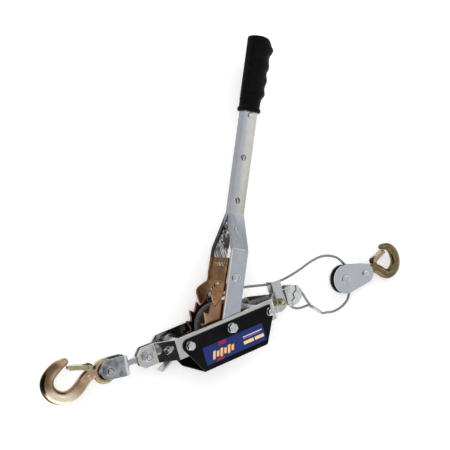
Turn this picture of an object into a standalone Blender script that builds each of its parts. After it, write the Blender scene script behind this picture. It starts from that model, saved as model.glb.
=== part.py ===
"""A come along winch: a hand ratchet puller with a wire rope, a pulley block and two hooks.

Lengths are in metres. The puller lies on its side: +X runs from the front hook to the pulley block,
+Y runs towards the handle, and +Z is up, away from the surface that it lies on. Shapes are drawn about
the frame's middle plane (z = 0 there) and are raised by MID_HEIGHT when they are placed.
"""

import math

import bmesh
import bpy
from mathutils import Matrix, Vector

GAP = 0.0003  # between two pieces that touch
ROUND = 12  # points round a fastener or its hole

# Side plates: two bent straps that carry everything
PLATE_THICKNESS = 0.003
PLATE_OUTER = 0.036  # outer face, from the middle plane
PLATE_TOP, PLATE_BOTTOM = 0.015, -0.014
FRONT_BEND, REAR_BEND = -0.087, 0.076
WING_RUN = 0.021  # how far a wing runs along X while it comes inwards
EAR_INNER = 0.0038  # inner face of an ear
FRONT_EAR_END, REAR_EAR_END = -0.138, 0.1165
PLATE_MID = PLATE_OUTER - PLATE_THICKNESS / 2
EAR_MID = EAR_INNER + PLATE_THICKNESS / 2
EAR_OUTER = EAR_INNER + PLATE_THICKNESS

# Guard: a black channel outside the plates
GUARD_THICKNESS = 0.0015
GUARD_INNER = PLATE_OUTER + GAP
GUARD_OUTER = GUARD_INNER + GUARD_THICKNESS
GUARD_TOP, GUARD_BOTTOM = 0.0095, -0.045
GUARD_LOW_FRONT, GUARD_LOW_REAR = -0.057, 0.048
GUARD_HIGH_REAR = 0.070
GUARD_NOSE_RADIUS = 0.010

# Cross bolts
FRONT_BOLT_X, REAR_BOLT_X = -0.070, 0.067
BOLT_RADIUS = 0.004
AXLE_RADIUS = 0.005
BOLT_FLATS, AXLE_FLATS = 0.0110, 0.0125
WASHER_RATIO = 1.16
EAR_FLATS, EAR_WASHER_RATIO = 0.0125, 1.30
WASHER_THICKNESS = 0.0015
HEAD_HEIGHT = 0.0060
STUD_END = 0.0471  # how far the three cross bolts reach below the middle plane
MID_HEIGHT = STUD_END  # the three stud ends stand on the floor
SPACER_RADIUS = 0.007

# Drum and ratchet wheels
TEETH = 16
TOOTH_PITCH = math.radians(360 / TEETH)
FIRST_TIP = math.radians(107.9)
TIP_RADIUS, ROOT_RADIUS = 0.0426, 0.0353
WHEEL_INNER, WHEEL_OUTER = 0.0210, 0.0255
AXLE_BORE = AXLE_RADIUS + GAP
CORE_RADIUS = 0.0288

# Wire rope
ROPE_DIAMETER = 0.0040
ROPE_SPACING = 0.0085  # about two diameters between the tube's points
WINDING_PITCH = 0.0045
WINDING_TURNS = 6.5
LOOP_POINTS = 24
WINDING_RADIUS = CORE_RADIUS + 0.0005 + ROPE_DIAMETER / 2
WINDING_EXIT_Z = -0.015

# Handle: a folded channel whose two flanges open into a fork
HANDLE_LEAN = math.radians(27)
LEG_OUTER = 0.032
SHEET = 0.003
CHANNEL_OUTER = 0.008
LEG_LEFT, LEG_RIGHT = -0.0127, 0.0141
CHANNEL_LEFT, CHANNEL_RIGHT = -0.010, 0.012
FORK_KINK, FORK_ROOT = 0.112, 0.165
LIP_DEPTH, LIP_START = 0.005, 0.046
LIP_THICKNESS = 0.0025
CHANNEL_END = 0.380
CHANNEL_HOLES = (0.184, 0.248)
CHANNEL_HOLE_ACROSS = -0.0015
CHANNEL_HOLE_RADIUS = 0.0046
GRIP_RIVET_AT = 0.312
GRIP_START, GRIP_END = 0.318, 0.4310
GRIP_RADIUS = 0.0162
GRIP_MID = 0.0012
GRIP_SWELLS = (  # along the grip, and how far its right side stands out there
    (0.0180, 0.0000),
    (0.0300, 0.0057),
    (0.0385, 0.0038),
    (0.0510, 0.0065),
    (0.0605, 0.0042),
    (0.0715, 0.0071),
    (0.0840, 0.0052),
    (0.0990, 0.0108),
)
GRIP_END_RINGS = (  # along the grip, radius, and how far the right side stands out
    (0.1050, 0.0164, 0.0062),
    (0.1095, 0.0164, 0.0030),
    (0.1122, 0.0158, 0.0010),
    (0.1130, 0.0134, 0.0),
)

# Drive pawl on the handle
PAWL_INNER, PAWL_OUTER = 0.0212, 0.0252
DRIVE_PIN_AT = 0.0715
DRIVE_PIN_RADIUS = 0.004
PAWL_WEB = 0.0025
SPRING_PIN = (-0.0045, 0.142)
SPRING_PIN_HALF = 0.0195
SPRING_RADIUS, SPRING_WIRE = 0.0030, 0.0012
SPRING_CURLS = 10
SPRING_PITCH = 0.0021

# Holding pawl on the front cross bolt
HOLDING_LIFT = math.radians(10.5)
HOLDING_HUB = 0.011
HOLDING_TOE_ANGLE = math.radians(216.6)

# Front hook train
FRONT_EAR_BOLT = (-0.1232, 0.0012)
ROD_RADIUS = 0.0043
ROD_EYE_RADIUS = 0.0105
CLEVIS_WEB_X = -0.155
CLEVIS_TILT = math.radians(8)
CLEVIS_WEB = 0.004
CLEVIS_PLATE = 0.0035
CLEVIS_INNER = 0.0085
CLEVIS_BOLT_AT = 0.0298
FRONT_HOOK_ANGLE = math.radians(170)

# Rear end: rope guide, rope anchor
REAR_EAR_BOLT = (0.1050, -0.0010)
REAR_EAR_RADIUS, REAR_EAR_FLATS = 0.003, 0.0090
GUIDE_SHEET = 0.002
GUIDE_X = 0.0978
GUIDE_ROPE = (GUIDE_X, 0.0288, 0.0)
GUIDE_FLANGE_INNER = EAR_OUTER + GAP
ANCHOR_PLATE_INNER, ANCHOR_PLATE_OUTER = 0.0065, 0.0095
ANCHOR_BOSS = (0.1308, 0.0010)
ANCHOR_BOSS_RADIUS = 0.0045
EYE_RADIUS = 0.0073

# Pulley block
BLOCK_Z = -0.032
SHEAVE_AT = (0.2512, -0.0187)
BLOCK_BOLT_AT = (0.2893, -0.0222)
CHEEK_INNER, CHEEK_OUTER = 0.0052, 0.0074
CHEEK_BIG, CHEEK_SMALL = 0.0231, 0.0160
SHEAVE_RADIUS, SHEAVE_GROOVE = 0.0222, 0.0154
SHEAVE_HALF = 0.0047
REAR_EYE = (0.2881, -0.0214)
REAR_HOOK_SCALE = 0.85
REAR_HOOK_ANGLE = math.radians(-2.7)


# ---------------------------------------------------------------- scene and materials


def clear_scene():
    for item in list(bpy.data.objects):
        bpy.data.objects.remove(item, do_unlink=True)


def material(name, colour, roughness, metallic):
    made = bpy.data.materials.new(name)
    made.use_nodes = True
    shader = made.node_tree.nodes["Principled BSDF"]
    shader.inputs["Base Color"].default_value = (*colour, 1.0)
    shader.inputs["Roughness"].default_value = roughness
    shader.inputs["Metallic"].default_value = metallic
    made.diffuse_color = (*colour, 1.0)
    return made


def make_materials():
    return {
        "zinc": material("zinc_plated_steel", (0.62, 0.63, 0.63), 0.32, 1.0),
        "bright_zinc": material("bright_zinc_fastener", (0.74, 0.75, 0.75), 0.25, 1.0),
        "yellow_zinc": material("yellow_zinc_steel", (0.52, 0.40, 0.16), 0.35, 1.0),
        "stamped_zinc": material("brown_zinc_stamping", (0.40, 0.24, 0.10), 0.38, 1.0),
        "black_paint": material("gloss_black_paint", (0.012, 0.012, 0.014), 0.25, 0.0),
        "rope": material("galvanised_wire_rope", (0.34, 0.34, 0.33), 0.5, 0.9),
        "core": material("dark_drum_core", (0.10, 0.10, 0.10), 0.6, 0.5),
        "rubber": material("black_rubber_grip", (0.018, 0.018, 0.018), 0.7, 0.0),
        "aluminium": material("aluminium_sleeve", (0.70, 0.70, 0.70), 0.35, 1.0),
        "black_sheave": material("black_sheave", (0.03, 0.03, 0.03), 0.45, 0.2),
    }


# ---------------------------------------------------------------- outlines


def arc(centre, radius, start, end, count):
    """Points on an arc, angles in degrees."""
    points = []
    for i in range(count + 1):
        angle = math.radians(start + (end - start) * i / count)
        points.append((centre[0] + radius * math.cos(angle), centre[1] + radius * math.sin(angle)))
    return points


def turned(point, centre, angle):
    """A point turned about a centre."""
    x, y = point[0] - centre[0], point[1] - centre[1]
    cosine, sine = math.cos(angle), math.sin(angle)
    return (centre[0] + x * cosine - y * sine, centre[1] + x * sine + y * cosine)


def polar(radius, angle):
    return (radius * math.cos(angle), radius * math.sin(angle))


def hull_of_circles(first, first_radius, second, second_radius, count):
    """The outline of a belt round two circles."""
    dx, dy = second[0] - first[0], second[1] - first[1]
    facing = math.degrees(math.atan2(dy, dx))
    spread = math.degrees(math.acos((first_radius - second_radius) / math.hypot(dx, dy)))
    points = arc(first, first_radius, facing + spread, facing + 360 - spread, count)
    points += arc(second, second_radius, facing - spread, facing + spread, count)
    return points


def strap(path, thickness):
    """The outline of a bent strap of even thickness along a path."""
    left, right = [], []
    for i, point in enumerate(path):
        here = Vector(point)
        before = (here - Vector(path[i - 1])).normalized() if i > 0 else None
        after = (Vector(path[i + 1]) - here).normalized() if i + 1 < len(path) else None
        before = before or after
        after = after or before
        middle = (before + after).normalized()
        normal = Vector((-middle.y, middle.x))
        reach = thickness / 2 / max(0.2, normal.dot(Vector((-before.y, before.x))))
        left.append(tuple(here + normal * reach))
        right.append(tuple(here - normal * reach))
    return left + right[::-1]


def rounded_path(points, radius, steps):
    """A path whose inner corners are arcs."""
    path = [points[0]]
    for i in range(1, len(points) - 1):
        here = Vector(points[i])
        back = (Vector(points[i - 1]) - here).normalized()
        on = (Vector(points[i + 1]) - here).normalized()
        half = math.acos(max(-1.0, min(1.0, back.dot(on)))) / 2
        reach = radius / math.tan(half)
        start, end = here + back * reach, here + on * reach
        for k in range(steps + 1):
            t = k / steps
            path.append(tuple(start * (1 - t) ** 2 + here * (2 * t * (1 - t)) + end * t**2))
    path.append(points[-1])
    return path


# ---------------------------------------------------------------- solids


def prism(points, low, high, plane="xy"):
    """An outline drawn out between two levels; plane names the outline's two axes."""
    mesh = bmesh.new()
    bottom = [mesh.verts.new((x, y, low)) for x, y in points]
    face = mesh.faces.new(bottom)
    grown = bmesh.ops.extrude_face_region(mesh, geom=[face])
    lifted = [item for item in grown["geom"] if isinstance(item, bmesh.types.BMVert)]
    bmesh.ops.translate(mesh, verts=lifted, vec=(0, 0, high - low))
    axes = {
        "xy": Matrix(((1, 0, 0), (0, 1, 0), (0, 0, 1))),
        "xz": Matrix(((1, 0, 0), (0, 0, 1), (0, 1, 0))),
        "yz": Matrix(((0, 0, 1), (1, 0, 0), (0, 1, 0))),
        "zy": Matrix(((0, 0, 1), (0, 1, 0), (1, 0, 0))),
    }
    bmesh.ops.transform(mesh, matrix=axes[plane].to_4x4(), verts=mesh.verts)
    bmesh.ops.recalc_face_normals(mesh, faces=mesh.faces)
    return mesh


def ring_points(radius, count, sides=0, turn=0.0):
    """A ring of points: round, or with flat sides when sides is given (radius is then half the flats)."""
    points = []
    for i in range(count):
        angle = 2 * math.pi * i / count
        reach = radius
        if sides:
            step = 2 * math.pi / sides
            reach = radius / math.cos((angle + step / 2) % step - step / 2)
        points.append((reach * math.cos(angle + turn), reach * math.sin(angle + turn)))
    return points


def loft(rings, closed=False):
    """A solid through rings of equal counts, each a (points, height) pair along z."""
    mesh = bmesh.new()
    made = []
    for points, height in rings:
        made.append([mesh.verts.new((x, y, height)) for x, y in points])
    pairs = list(zip(made, made[1:]))
    if closed:
        pairs.append((made[-1], made[0]))
    count = len(made[0])
    for lower, upper in pairs:
        for i in range(count):
            j = (i + 1) % count
            mesh.faces.new((lower[i], lower[j], upper[j], upper[i]))
    if not closed:
        mesh.faces.new(made[0][::-1])
        mesh.faces.new(made[-1])
    bmesh.ops.recalc_face_normals(mesh, faces=mesh.faces)
    return mesh


def rod(radius, low, high, count=ROUND, chamfer=0.0):
    """A round bar along z."""
    if not chamfer:
        return loft([(ring_points(radius, count), low), (ring_points(radius, count), high)])
    small, full = ring_points(radius - chamfer, count), ring_points(radius, count)
    return loft([(small, low), (full, low + chamfer), (full, high - chamfer), (small, high)])


def tube_between(inner, outer, low, high, count=ROUND):
    """A round tube along z."""
    a, b = ring_points(inner, count), ring_points(outer, count)
    return loft([(a, low), (b, low), (b, high), (a, high)], closed=True)


def moved(mesh, x=0.0, y=0.0, z=0.0):
    bmesh.ops.translate(mesh, verts=mesh.verts, vec=(x, y, z))
    return mesh


def spun(mesh, angle, axis, centre=(0.0, 0.0, 0.0)):
    bmesh.ops.rotate(mesh, verts=mesh.verts, cent=centre, matrix=Matrix.Rotation(angle, 3, axis))
    return mesh


def mirrored(mesh):
    """The same solid on the other side of the middle plane."""
    for vert in mesh.verts:
        vert.co.z = -vert.co.z
    bmesh.ops.reverse_faces(mesh, faces=mesh.faces)
    return mesh


def add_solid(name, mesh, finish, origin=(0.0, 0.0, 0.0), smooth=30):
    """Makes an object whose mesh is drawn about the middle plane, with its origin on a joint axis."""
    bmesh.ops.translate(mesh, verts=mesh.verts, vec=(-origin[0], -origin[1], -origin[2]))
    data = bpy.data.meshes.new(name)
    mesh.to_mesh(data)
    mesh.free()
    item = bpy.data.objects.new(name, data)
    bpy.context.collection.objects.link(item)
    item.location = (origin[0], origin[1], origin[2] + MID_HEIGHT)
    if finish is not None:
        data.materials.append(finish)
        data.shade_smooth()
        data.set_sharp_from_angle(angle=math.radians(smooth))
    return item


def combine(item, meshes, operation):
    """Adds, cuts or keeps solids on an object with Booleans."""
    for index, mesh in enumerate(meshes):
        cutter = add_solid(f"{item.name}_{operation.lower()}_{index}", mesh, None)
        cutter.hide_render = True
        cutter.display_type = "WIRE"
        step = item.modifiers.new(f"{operation.lower()}_{index}", "BOOLEAN")
        step.operation = operation
        step.solver = "EXACT"
        step.object = cutter
    return item


def cut(item, *meshes):
    return combine(item, meshes, "DIFFERENCE")


def joined(item, *meshes):
    return combine(item, meshes, "UNION")


def kept(item, mesh):
    return combine(item, [mesh], "INTERSECT")


def hole(centre, radius, low, high, count=ROUND):
    return moved(rod(radius, low, high, count), centre[0], centre[1])


# ---------------------------------------------------------------- fasteners


def headed_bolt(radius, flats, tail, face, washer_ratio=WASHER_RATIO, sides=6):
    """A bolt along z: washer and hex head above face, shank down to tail."""
    count = ROUND
    shank = ring_points(radius, count)
    washer = ring_points(flats / 2 * washer_ratio, count)
    flat = ring_points(flats / 2, count, sides)
    crown = ring_points(flats / 2 * 0.86, count)
    seat = face + GAP
    head = seat + WASHER_THICKNESS
    rings = [
        (ring_points(radius - 0.0006, count), tail),
        (shank, tail + 0.0006),
        (shank, seat),
        (washer, seat),
        (washer, head),
        (flat, head),
        (flat, head + HEAD_HEIGHT - 0.0008),
        (crown, head + HEAD_HEIGHT),
    ]
    return loft(rings)


def hex_nut(radius, flats, face, height=HEAD_HEIGHT, washer_ratio=WASHER_RATIO):
    """A nut with its washer, below a face at z = face, round a shank."""
    count = ROUND
    bore = ring_points(radius + GAP, count)
    washer = ring_points(flats / 2 * washer_ratio, count)
    flat = ring_points(flats / 2, count, 6)
    crown = ring_points(flats / 2 * 0.88, count)
    seat = face - GAP
    top = seat - WASHER_THICKNESS
    rings = [
        (bore, seat),
        (washer, seat),
        (washer, top),
        (flat, top),
        (flat, top - height + 0.0008),
        (crown, top - height),
        (bore, top - height),
    ]
    return loft(rings, closed=True)


# ---------------------------------------------------------------- frame


def plate_outline():
    """The side plate seen from the side, its ears included."""
    return [
        (FRONT_EAR_END, 0.000),
        (FRONT_EAR_END + 0.002, 0.0075),
        (FRONT_EAR_END + 0.010, PLATE_TOP + 0.0005),
        (FRONT_BEND - WING_RUN, PLATE_TOP),
        (REAR_BEND, PLATE_TOP),
        (REAR_BEND + WING_RUN, PLATE_TOP - 0.002),
        (REAR_EAR_END - 0.002, PLATE_TOP - 0.005),
        (REAR_EAR_END, -0.004),
        (REAR_EAR_END - 0.004, -0.0135),
        (REAR_EAR_END - 0.012, -0.0165),
        (REAR_BEND + WING_RUN - 0.003, PLATE_BOTTOM - 0.0008),
        (FRONT_BEND - WING_RUN, PLATE_BOTTOM),
        (FRONT_EAR_END + 0.009, PLATE_BOTTOM),
        (FRONT_EAR_END + 0.003, -0.010),
    ]


def plate_path():
    """The side plate seen from above: ear, wing, side, wing, ear."""
    corners = [
        (FRONT_EAR_END - 0.002, EAR_MID),
        (FRONT_BEND - WING_RUN, EAR_MID),
        (FRONT_BEND, PLATE_MID),
        (REAR_BEND, PLATE_MID),
        (REAR_BEND + WING_RUN, EAR_MID),
        (REAR_EAR_END + 0.002, EAR_MID),
    ]
    return rounded_path(corners, 0.0045, 3)


def wing_middle():
    return (FRONT_BEND - WING_RUN * 0.38, 0.0028, PLATE_MID - (PLATE_MID - EAR_MID) * 0.38)


def wing_rivet_mesh():
    """A short headed pin through the front wing, square to it."""
    mesh = headed_bolt(0.003, 0.0085, -0.006, PLATE_THICKNESS / 2)
    lean = math.atan2(PLATE_MID - EAR_MID, WING_RUN)
    spun(mesh, -lean, "Y")
    middle = wing_middle()
    return moved(mesh, *middle)


def wing_hole_mesh():
    mesh = rod(0.003 + GAP, -0.008, 0.008)
    lean = math.atan2(PLATE_MID - EAR_MID, WING_RUN)
    spun(mesh, -lean, "Y")
    middle = wing_middle()
    return moved(mesh, *middle)


def make_side_plate(name, near, finish):
    flip = (lambda mesh: mesh) if near else mirrored
    body = prism(strap(plate_path(), PLATE_THICKNESS), -0.022, 0.018, "xz")
    item = add_solid(name, flip(body), finish)
    kept(item, flip(prism(plate_outline(), -0.001, 0.040)))
    holes = [
        hole((FRONT_BOLT_X, 0), BOLT_RADIUS + GAP, 0.030, 0.040),
        hole((0, 0), AXLE_RADIUS + GAP, 0.030, 0.040),
        hole((REAR_BOLT_X, 0), BOLT_RADIUS + GAP, 0.030, 0.040),
        hole(FRONT_EAR_BOLT, BOLT_RADIUS + GAP, 0.001, 0.010),
        hole(REAR_EAR_BOLT, REAR_EAR_RADIUS + GAP, 0.001, 0.010),
        wing_hole_mesh(),
    ]
    return cut(item, *[flip(mesh) for mesh in holes])


def guard_outline():
    """The guard's side panel: a round nose at the front bolt, a short lower edge and slanted ends."""
    nose = (FRONT_BOLT_X, 0.0)
    points = arc(nose, GUARD_NOSE_RADIUS, 90, 210, 8)
    points += [
        (GUARD_LOW_FRONT, GUARD_BOTTOM - 0.001),
        (GUARD_LOW_REAR, GUARD_BOTTOM - 0.001),
        (GUARD_HIGH_REAR + 0.001, -0.006),
        (GUARD_HIGH_REAR, GUARD_TOP + 0.0005),
    ]
    return points


def make_guard(finish):
    wall = GUARD_OUTER - GUARD_THICKNESS / 2
    floor = GUARD_BOTTOM + GUARD_THICKNESS / 2
    path = [(0.020, wall), (floor, wall), (floor, -wall), (0.020, -wall)]
    section = strap(rounded_path(path, 0.0025, 3), GUARD_THICKNESS)
    item = add_solid("guard", prism(section, -0.085, 0.075, "yz"), finish)
    kept(item, prism(guard_outline(), -0.040, 0.040))
    reach = GUARD_OUTER + 0.002
    cut(
        item,
        hole((FRONT_BOLT_X, 0), BOLT_RADIUS + GAP, -reach, reach),
        hole((0, 0), AXLE_RADIUS + GAP, -reach, reach),
        hole((REAR_BOLT_X, 0), BOLT_RADIUS + GAP, -reach, reach),
    )
    return item


def make_cross_bolts(finish):
    rows = (
        ("front_cross_bolt", "front_cross_nut", FRONT_BOLT_X, BOLT_RADIUS, BOLT_FLATS),
        ("drum_axle", "drum_axle_nut", 0.0, AXLE_RADIUS, AXLE_FLATS),
        ("rear_cross_bolt", "rear_cross_nut", REAR_BOLT_X, BOLT_RADIUS, BOLT_FLATS),
    )
    for bolt, nut, x, radius, flats in rows:
        add_solid(bolt, moved(headed_bolt(radius, flats, -STUD_END, GUARD_OUTER), x), finish, (x, 0, 0))
        add_solid(nut, moved(hex_nut(radius, flats, -GUARD_OUTER), x), finish, (x, 0, 0))
    reach = PLATE_OUTER - PLATE_THICKNESS - GAP
    for name, x in (("front_spacer", FRONT_BOLT_X), ("rear_spacer", REAR_BOLT_X)):
        mesh = tube_between(BOLT_RADIUS + GAP, SPACER_RADIUS, -reach, reach)
        add_solid(name, moved(mesh, x), finish, (x, 0, 0))


# ---------------------------------------------------------------- drum


def wheel_ring(radius_scale=1.0):
    """The toothed outline: each tooth has a steep face on its clockwise side."""
    points = []
    shape = ((-1.2, ROOT_RADIUS), (0.0, TIP_RADIUS), (16.5, ROOT_RADIUS))
    for k in range(TEETH):
        tip = FIRST_TIP + k * TOOTH_PITCH
        for offset, radius in shape:
            points.append(polar(radius * radius_scale, tip + math.radians(offset)))
    return points


def bore_ring(radius):
    """A round ring with a point below each point of the toothed outline."""
    return [tuple(Vector(point).normalized() * radius) for point in wheel_ring()]


def make_drum(finishes):
    outer, bore = wheel_ring(), bore_ring(AXLE_BORE)
    for name, sign in (("ratchet_wheel_near", 1), ("ratchet_wheel_far", -1)):
        rings = [(bore, WHEEL_INNER), (outer, WHEEL_INNER), (outer, WHEEL_OUTER), (bore, WHEEL_OUTER)]
        mesh = loft(rings, closed=True)
        add_solid(name, mesh if sign > 0 else mirrored(mesh), finishes["stamped_zinc"])
    reach = WHEEL_INNER - GAP
    add_solid("drum_core", tube_between(AXLE_BORE, CORE_RADIUS, -reach, reach, 32), finishes["core"])


def make_tube(name, points, radius, finish, bevel, origin=(0.0, 0.0, 0.0)):
    """A round tube along points, as a curve with filled caps."""
    data = bpy.data.curves.new(name, "CURVE")
    data.dimensions = "3D"
    data.bevel_depth = radius
    data.bevel_resolution = bevel
    data.use_fill_caps = True
    line = data.splines.new("POLY")
    line.points.add(len(points) - 1)
    for spot, point in zip(line.points, points):
        spot.co = (point[0] - origin[0], point[1] - origin[1], point[2] - origin[2], 1.0)
        spot.radius = 1.0
    data.materials.append(finish)
    item = bpy.data.objects.new(name, data)
    bpy.context.collection.objects.link(item)
    item.location = (origin[0], origin[1], origin[2] + MID_HEIGHT)
    return item


def least_gap(points, diameter, apart):
    """The least gap between stretches of a tube that lie more than a number of points apart."""
    best = math.inf
    for i, first in enumerate(points):
        for second in points[i + apart :]:
            best = min(best, (Vector(first) - Vector(second)).length - diameter)
    return best


def winding_points():
    """The drum's outer layer: out of the near wheel, round the core, and off its top towards +X."""
    exit_z = WINDING_EXIT_Z
    steps = round(WINDING_TURNS * LOOP_POINTS)
    start_z = exit_z + WINDING_TURNS * WINDING_PITCH
    start_angle = math.pi / 2 + 2 * math.pi * WINDING_TURNS
    wheel_face = WHEEL_INNER - GAP
    bend = wheel_face - ROPE_DIAMETER - start_z
    sweep = bend / WINDING_RADIUS
    points = []
    for z in (wheel_face, wheel_face - ROPE_DIAMETER):
        points.append((*polar(WINDING_RADIUS, start_angle + sweep), z))
    for k in range(1, 4):
        turn = math.pi / 2 * k / 4
        angle = start_angle + sweep * math.cos(turn)
        z = start_z + bend * (1 - math.sin(turn))
        points.append((*polar(WINDING_RADIUS, angle), z))
    for i in range(steps + 1):
        angle = start_angle - 2 * math.pi * i / LOOP_POINTS
        z = start_z - WINDING_PITCH * i / LOOP_POINTS
        points.append((*polar(WINDING_RADIUS, angle), z))
    x, y, z = points[-1]
    points.append((x + ROPE_DIAMETER, y, z))
    return points


def make_winding(finish):
    points = winding_points()
    print(f"rope winding: least gap to itself {least_gap(points, ROPE_DIAMETER, 14) * 1000:.2f} mm")
    make_tube("rope_winding", points, ROPE_DIAMETER / 2, finish, 1)
    return points[-1]


# ---------------------------------------------------------------- handle


def flange_path():
    """A handle flange seen from the side: leg, slanted shoulder, channel."""
    leg, channel = LEG_OUTER - SHEET / 2, CHANNEL_OUTER - SHEET / 2
    corners = [(-0.020, leg), (FORK_KINK, leg), (FORK_ROOT, channel), (CHANNEL_END, channel)]
    return rounded_path(corners, 0.006, 2)


def handle_outline():
    """The handle seen square to its flanges, x across and y along."""
    middle = (LEG_LEFT + LEG_RIGHT) / 2
    points = arc((middle, 0.0), (LEG_RIGHT - LEG_LEFT) / 2, 180, 360, 12)
    points += [
        (LEG_RIGHT, FORK_KINK),
        (CHANNEL_RIGHT, FORK_ROOT),
        (CHANNEL_RIGHT, CHANNEL_END),
        (CHANNEL_LEFT, CHANNEL_END),
        (CHANNEL_LEFT, FORK_ROOT),
        (LEG_LEFT, FORK_KINK - 0.010),
    ]
    return points


def back_outline():
    """The channel's back wall, which splits into a lip along each leg; x across the fork, y along."""
    inner = LEG_OUTER - LIP_DEPTH
    half = [
        (CHANNEL_OUTER - GAP, CHANNEL_END),
        (CHANNEL_OUTER - GAP, FORK_ROOT),
        (LEG_OUTER - GAP, FORK_KINK),
        (LEG_OUTER - GAP, LIP_START),
        (inner, LIP_START),
        (inner, FORK_KINK - 0.004),
    ]
    return half + [(0.0, FORK_ROOT - 0.002)] + [(-x, y) for x, y in half[::-1]]


def make_handle(finish):
    left = LEG_LEFT - 0.001
    near = prism(strap(flange_path(), SHEET), left, LEG_RIGHT + 0.001, "yz")
    far = mirrored(prism(strap(flange_path(), SHEET), left, LEG_RIGHT + 0.001, "yz"))
    back = prism([(y, x) for x, y in back_outline()], left, CHANNEL_LEFT + LIP_THICKNESS, "yz")
    item = add_solid("handle_lever", near, finish)
    joined(item, far, back)
    kept(item, prism(handle_outline(), -0.050, 0.050))
    cut(
        item,
        hole((0, 0), AXLE_BORE, -0.050, 0.050),
        hole((0, DRIVE_PIN_AT), DRIVE_PIN_RADIUS + GAP, -0.050, 0.050),
        hole(SPRING_PIN, 0.002 + GAP, -0.050, 0.050),
        *[hole((CHANNEL_HOLE_ACROSS, at), CHANNEL_HOLE_RADIUS, -0.050, 0.050) for at in CHANNEL_HOLES],
        hole((0.0005, GRIP_RIVET_AT), 0.0025 + GAP, -0.050, 0.050),
    )
    return item


def grip_rings():
    """The rubber grip: a collar, four finger bumps along its right side, and a rounded end."""
    count = 16
    rows = (
        (0.000, 0.0165, 0.0),
        (0.0012, 0.0176, 0.0),
        (0.0042, 0.0176, 0.0),
        (0.0058, 0.0158, 0.0),
        (0.014, 0.0158, 0.0),
    )
    rings = []
    for at, radius, push in rows:
        rings.append(grip_ring(GRIP_START + at, radius, push, count))
    for (at, push), (later, swell) in zip(GRIP_SWELLS, GRIP_SWELLS[1:]):
        for k in range(3):
            ease = 0.5 - 0.5 * math.cos(math.pi * k / 3)
            spot = at + (later - at) * k / 3
            rings.append(grip_ring(GRIP_START + spot, GRIP_RADIUS, push + (swell - push) * ease, count))
    for at, radius, push in GRIP_END_RINGS:
        rings.append(grip_ring(GRIP_START + at, radius, push, count))
    return rings


def grip_ring(at, radius, push, count):
    points = []
    for i in range(count):
        angle = 2 * math.pi * i / count
        reach = radius * (1 - 0.06 * math.sin(angle) ** 2)
        x = reach * math.cos(angle) + push * max(0.0, math.cos(angle)) ** 2
        points.append((x + GRIP_MID, -reach * math.sin(angle)))
    return points, at


def make_grip(finish):
    mesh = loft(grip_rings())
    to_handle = Matrix(((1, 0, 0), (0, 0, 1), (0, -1, 0))).to_4x4()
    bmesh.ops.transform(mesh, matrix=to_handle, verts=mesh.verts)
    bmesh.ops.recalc_face_normals(mesh, faces=mesh.faces)
    item = add_solid("handle_grip", mesh, finish, smooth=50)
    left, right = CHANNEL_LEFT - GAP, CHANNEL_RIGHT + GAP
    socket = [(left, 0.300), (right, 0.300), (right, CHANNEL_END + GAP), (left, CHANNEL_END + GAP)]
    cut(item, prism(socket, -CHANNEL_OUTER - GAP, CHANNEL_OUTER + GAP))
    return item


def pin_with_heads(radius, head_radius, half, head):
    """A rivet along z: a shank of half-length half with a head on each end."""
    shank, cap = ring_points(radius, ROUND), ring_points(head_radius, ROUND)
    crown = ring_points(head_radius * 0.7, ROUND)
    rings = [
        (crown, -half - head),
        (cap, -half - head * 0.4),
        (cap, -half),
        (shank, -half),
        (shank, half),
        (cap, half),
        (cap, half + head * 0.4),
        (crown, half + head),
    ]
    return loft(rings)


def drive_arm_outline():
    """One arm of the drive pawl in the handle's frame, with its toe in a tooth gap."""
    pin = (0.0, DRIVE_PIN_AT)
    points = arc(pin, 0.0092, -78, 55, 8)
    points += [
        (-0.0090, 0.0985),
        (-0.0148, 0.0985),
        (-0.0165, 0.0840),
        (-0.0168, 0.0740),
        (-0.0158, 0.0640),
        (-0.0190, 0.0612),
        (-0.0245, 0.0566),
        (-0.0300, 0.0520),
        (-0.0322, 0.0475),
        (-0.0318, 0.0430),
        (-0.0292, 0.0365),
        (-0.0262, 0.0312),
    ]
    return points + toe_outline() + [(-0.0150, 0.0440), (-0.0105, 0.0530), (-0.0045, 0.0600)]


def toe_outline():
    """The end of the toe, clear of the tooth that it pushes and of the slope behind it."""
    spots = ((0.0372, 104.6), (0.0369, 99.6), (0.0398, 93.2), (0.0433, 86.4))
    return [polar(radius, math.radians(angle) + HANDLE_LEAN) for radius, angle in spots]


def make_drive_pawl(finish):
    """A folded stamping: two arms in the planes of the wheels, and a web with a window between them."""
    pin = (0.0, DRIVE_PIN_AT)
    arm = drive_arm_outline()
    item = add_solid("drive_pawl", prism(arm, PAWL_INNER, PAWL_OUTER), finish, (*pin, 0.0))
    path = [(-0.0118, 0.0983), (-0.0138, 0.0840), (-0.0146, 0.0740), (-0.0132, 0.0650)]
    web = strap(path, PAWL_WEB)
    window = [(-0.020, 0.0862), (-0.008, 0.0862), (-0.008, 0.0915), (-0.020, 0.0915)]
    reach = PAWL_OUTER - 0.0005
    joined(item, prism(arm, -PAWL_OUTER, -PAWL_INNER), prism(web, -reach, reach))
    cut(
        item,
        prism(window, -0.0175, 0.0175),
        hole(pin, DRIVE_PIN_RADIUS + GAP, -0.030, 0.030),
    )
    return item


def coil_points(radius, pitch, curls, per_curl, start, axis_x, tail):
    """A helix with straight ends, wound about a line along -y from start in the handle's frame."""
    points = [(axis_x, start + tail, radius)]
    for i in range(round(curls * per_curl) + 1):
        angle = 2 * math.pi * i / per_curl
        y = start - pitch * i / per_curl
        points.append((axis_x + radius * math.sin(angle), y, radius * math.cos(angle)))
    x, y, z = points[-1]
    points.append((x, y - tail, z))
    return points


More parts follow.
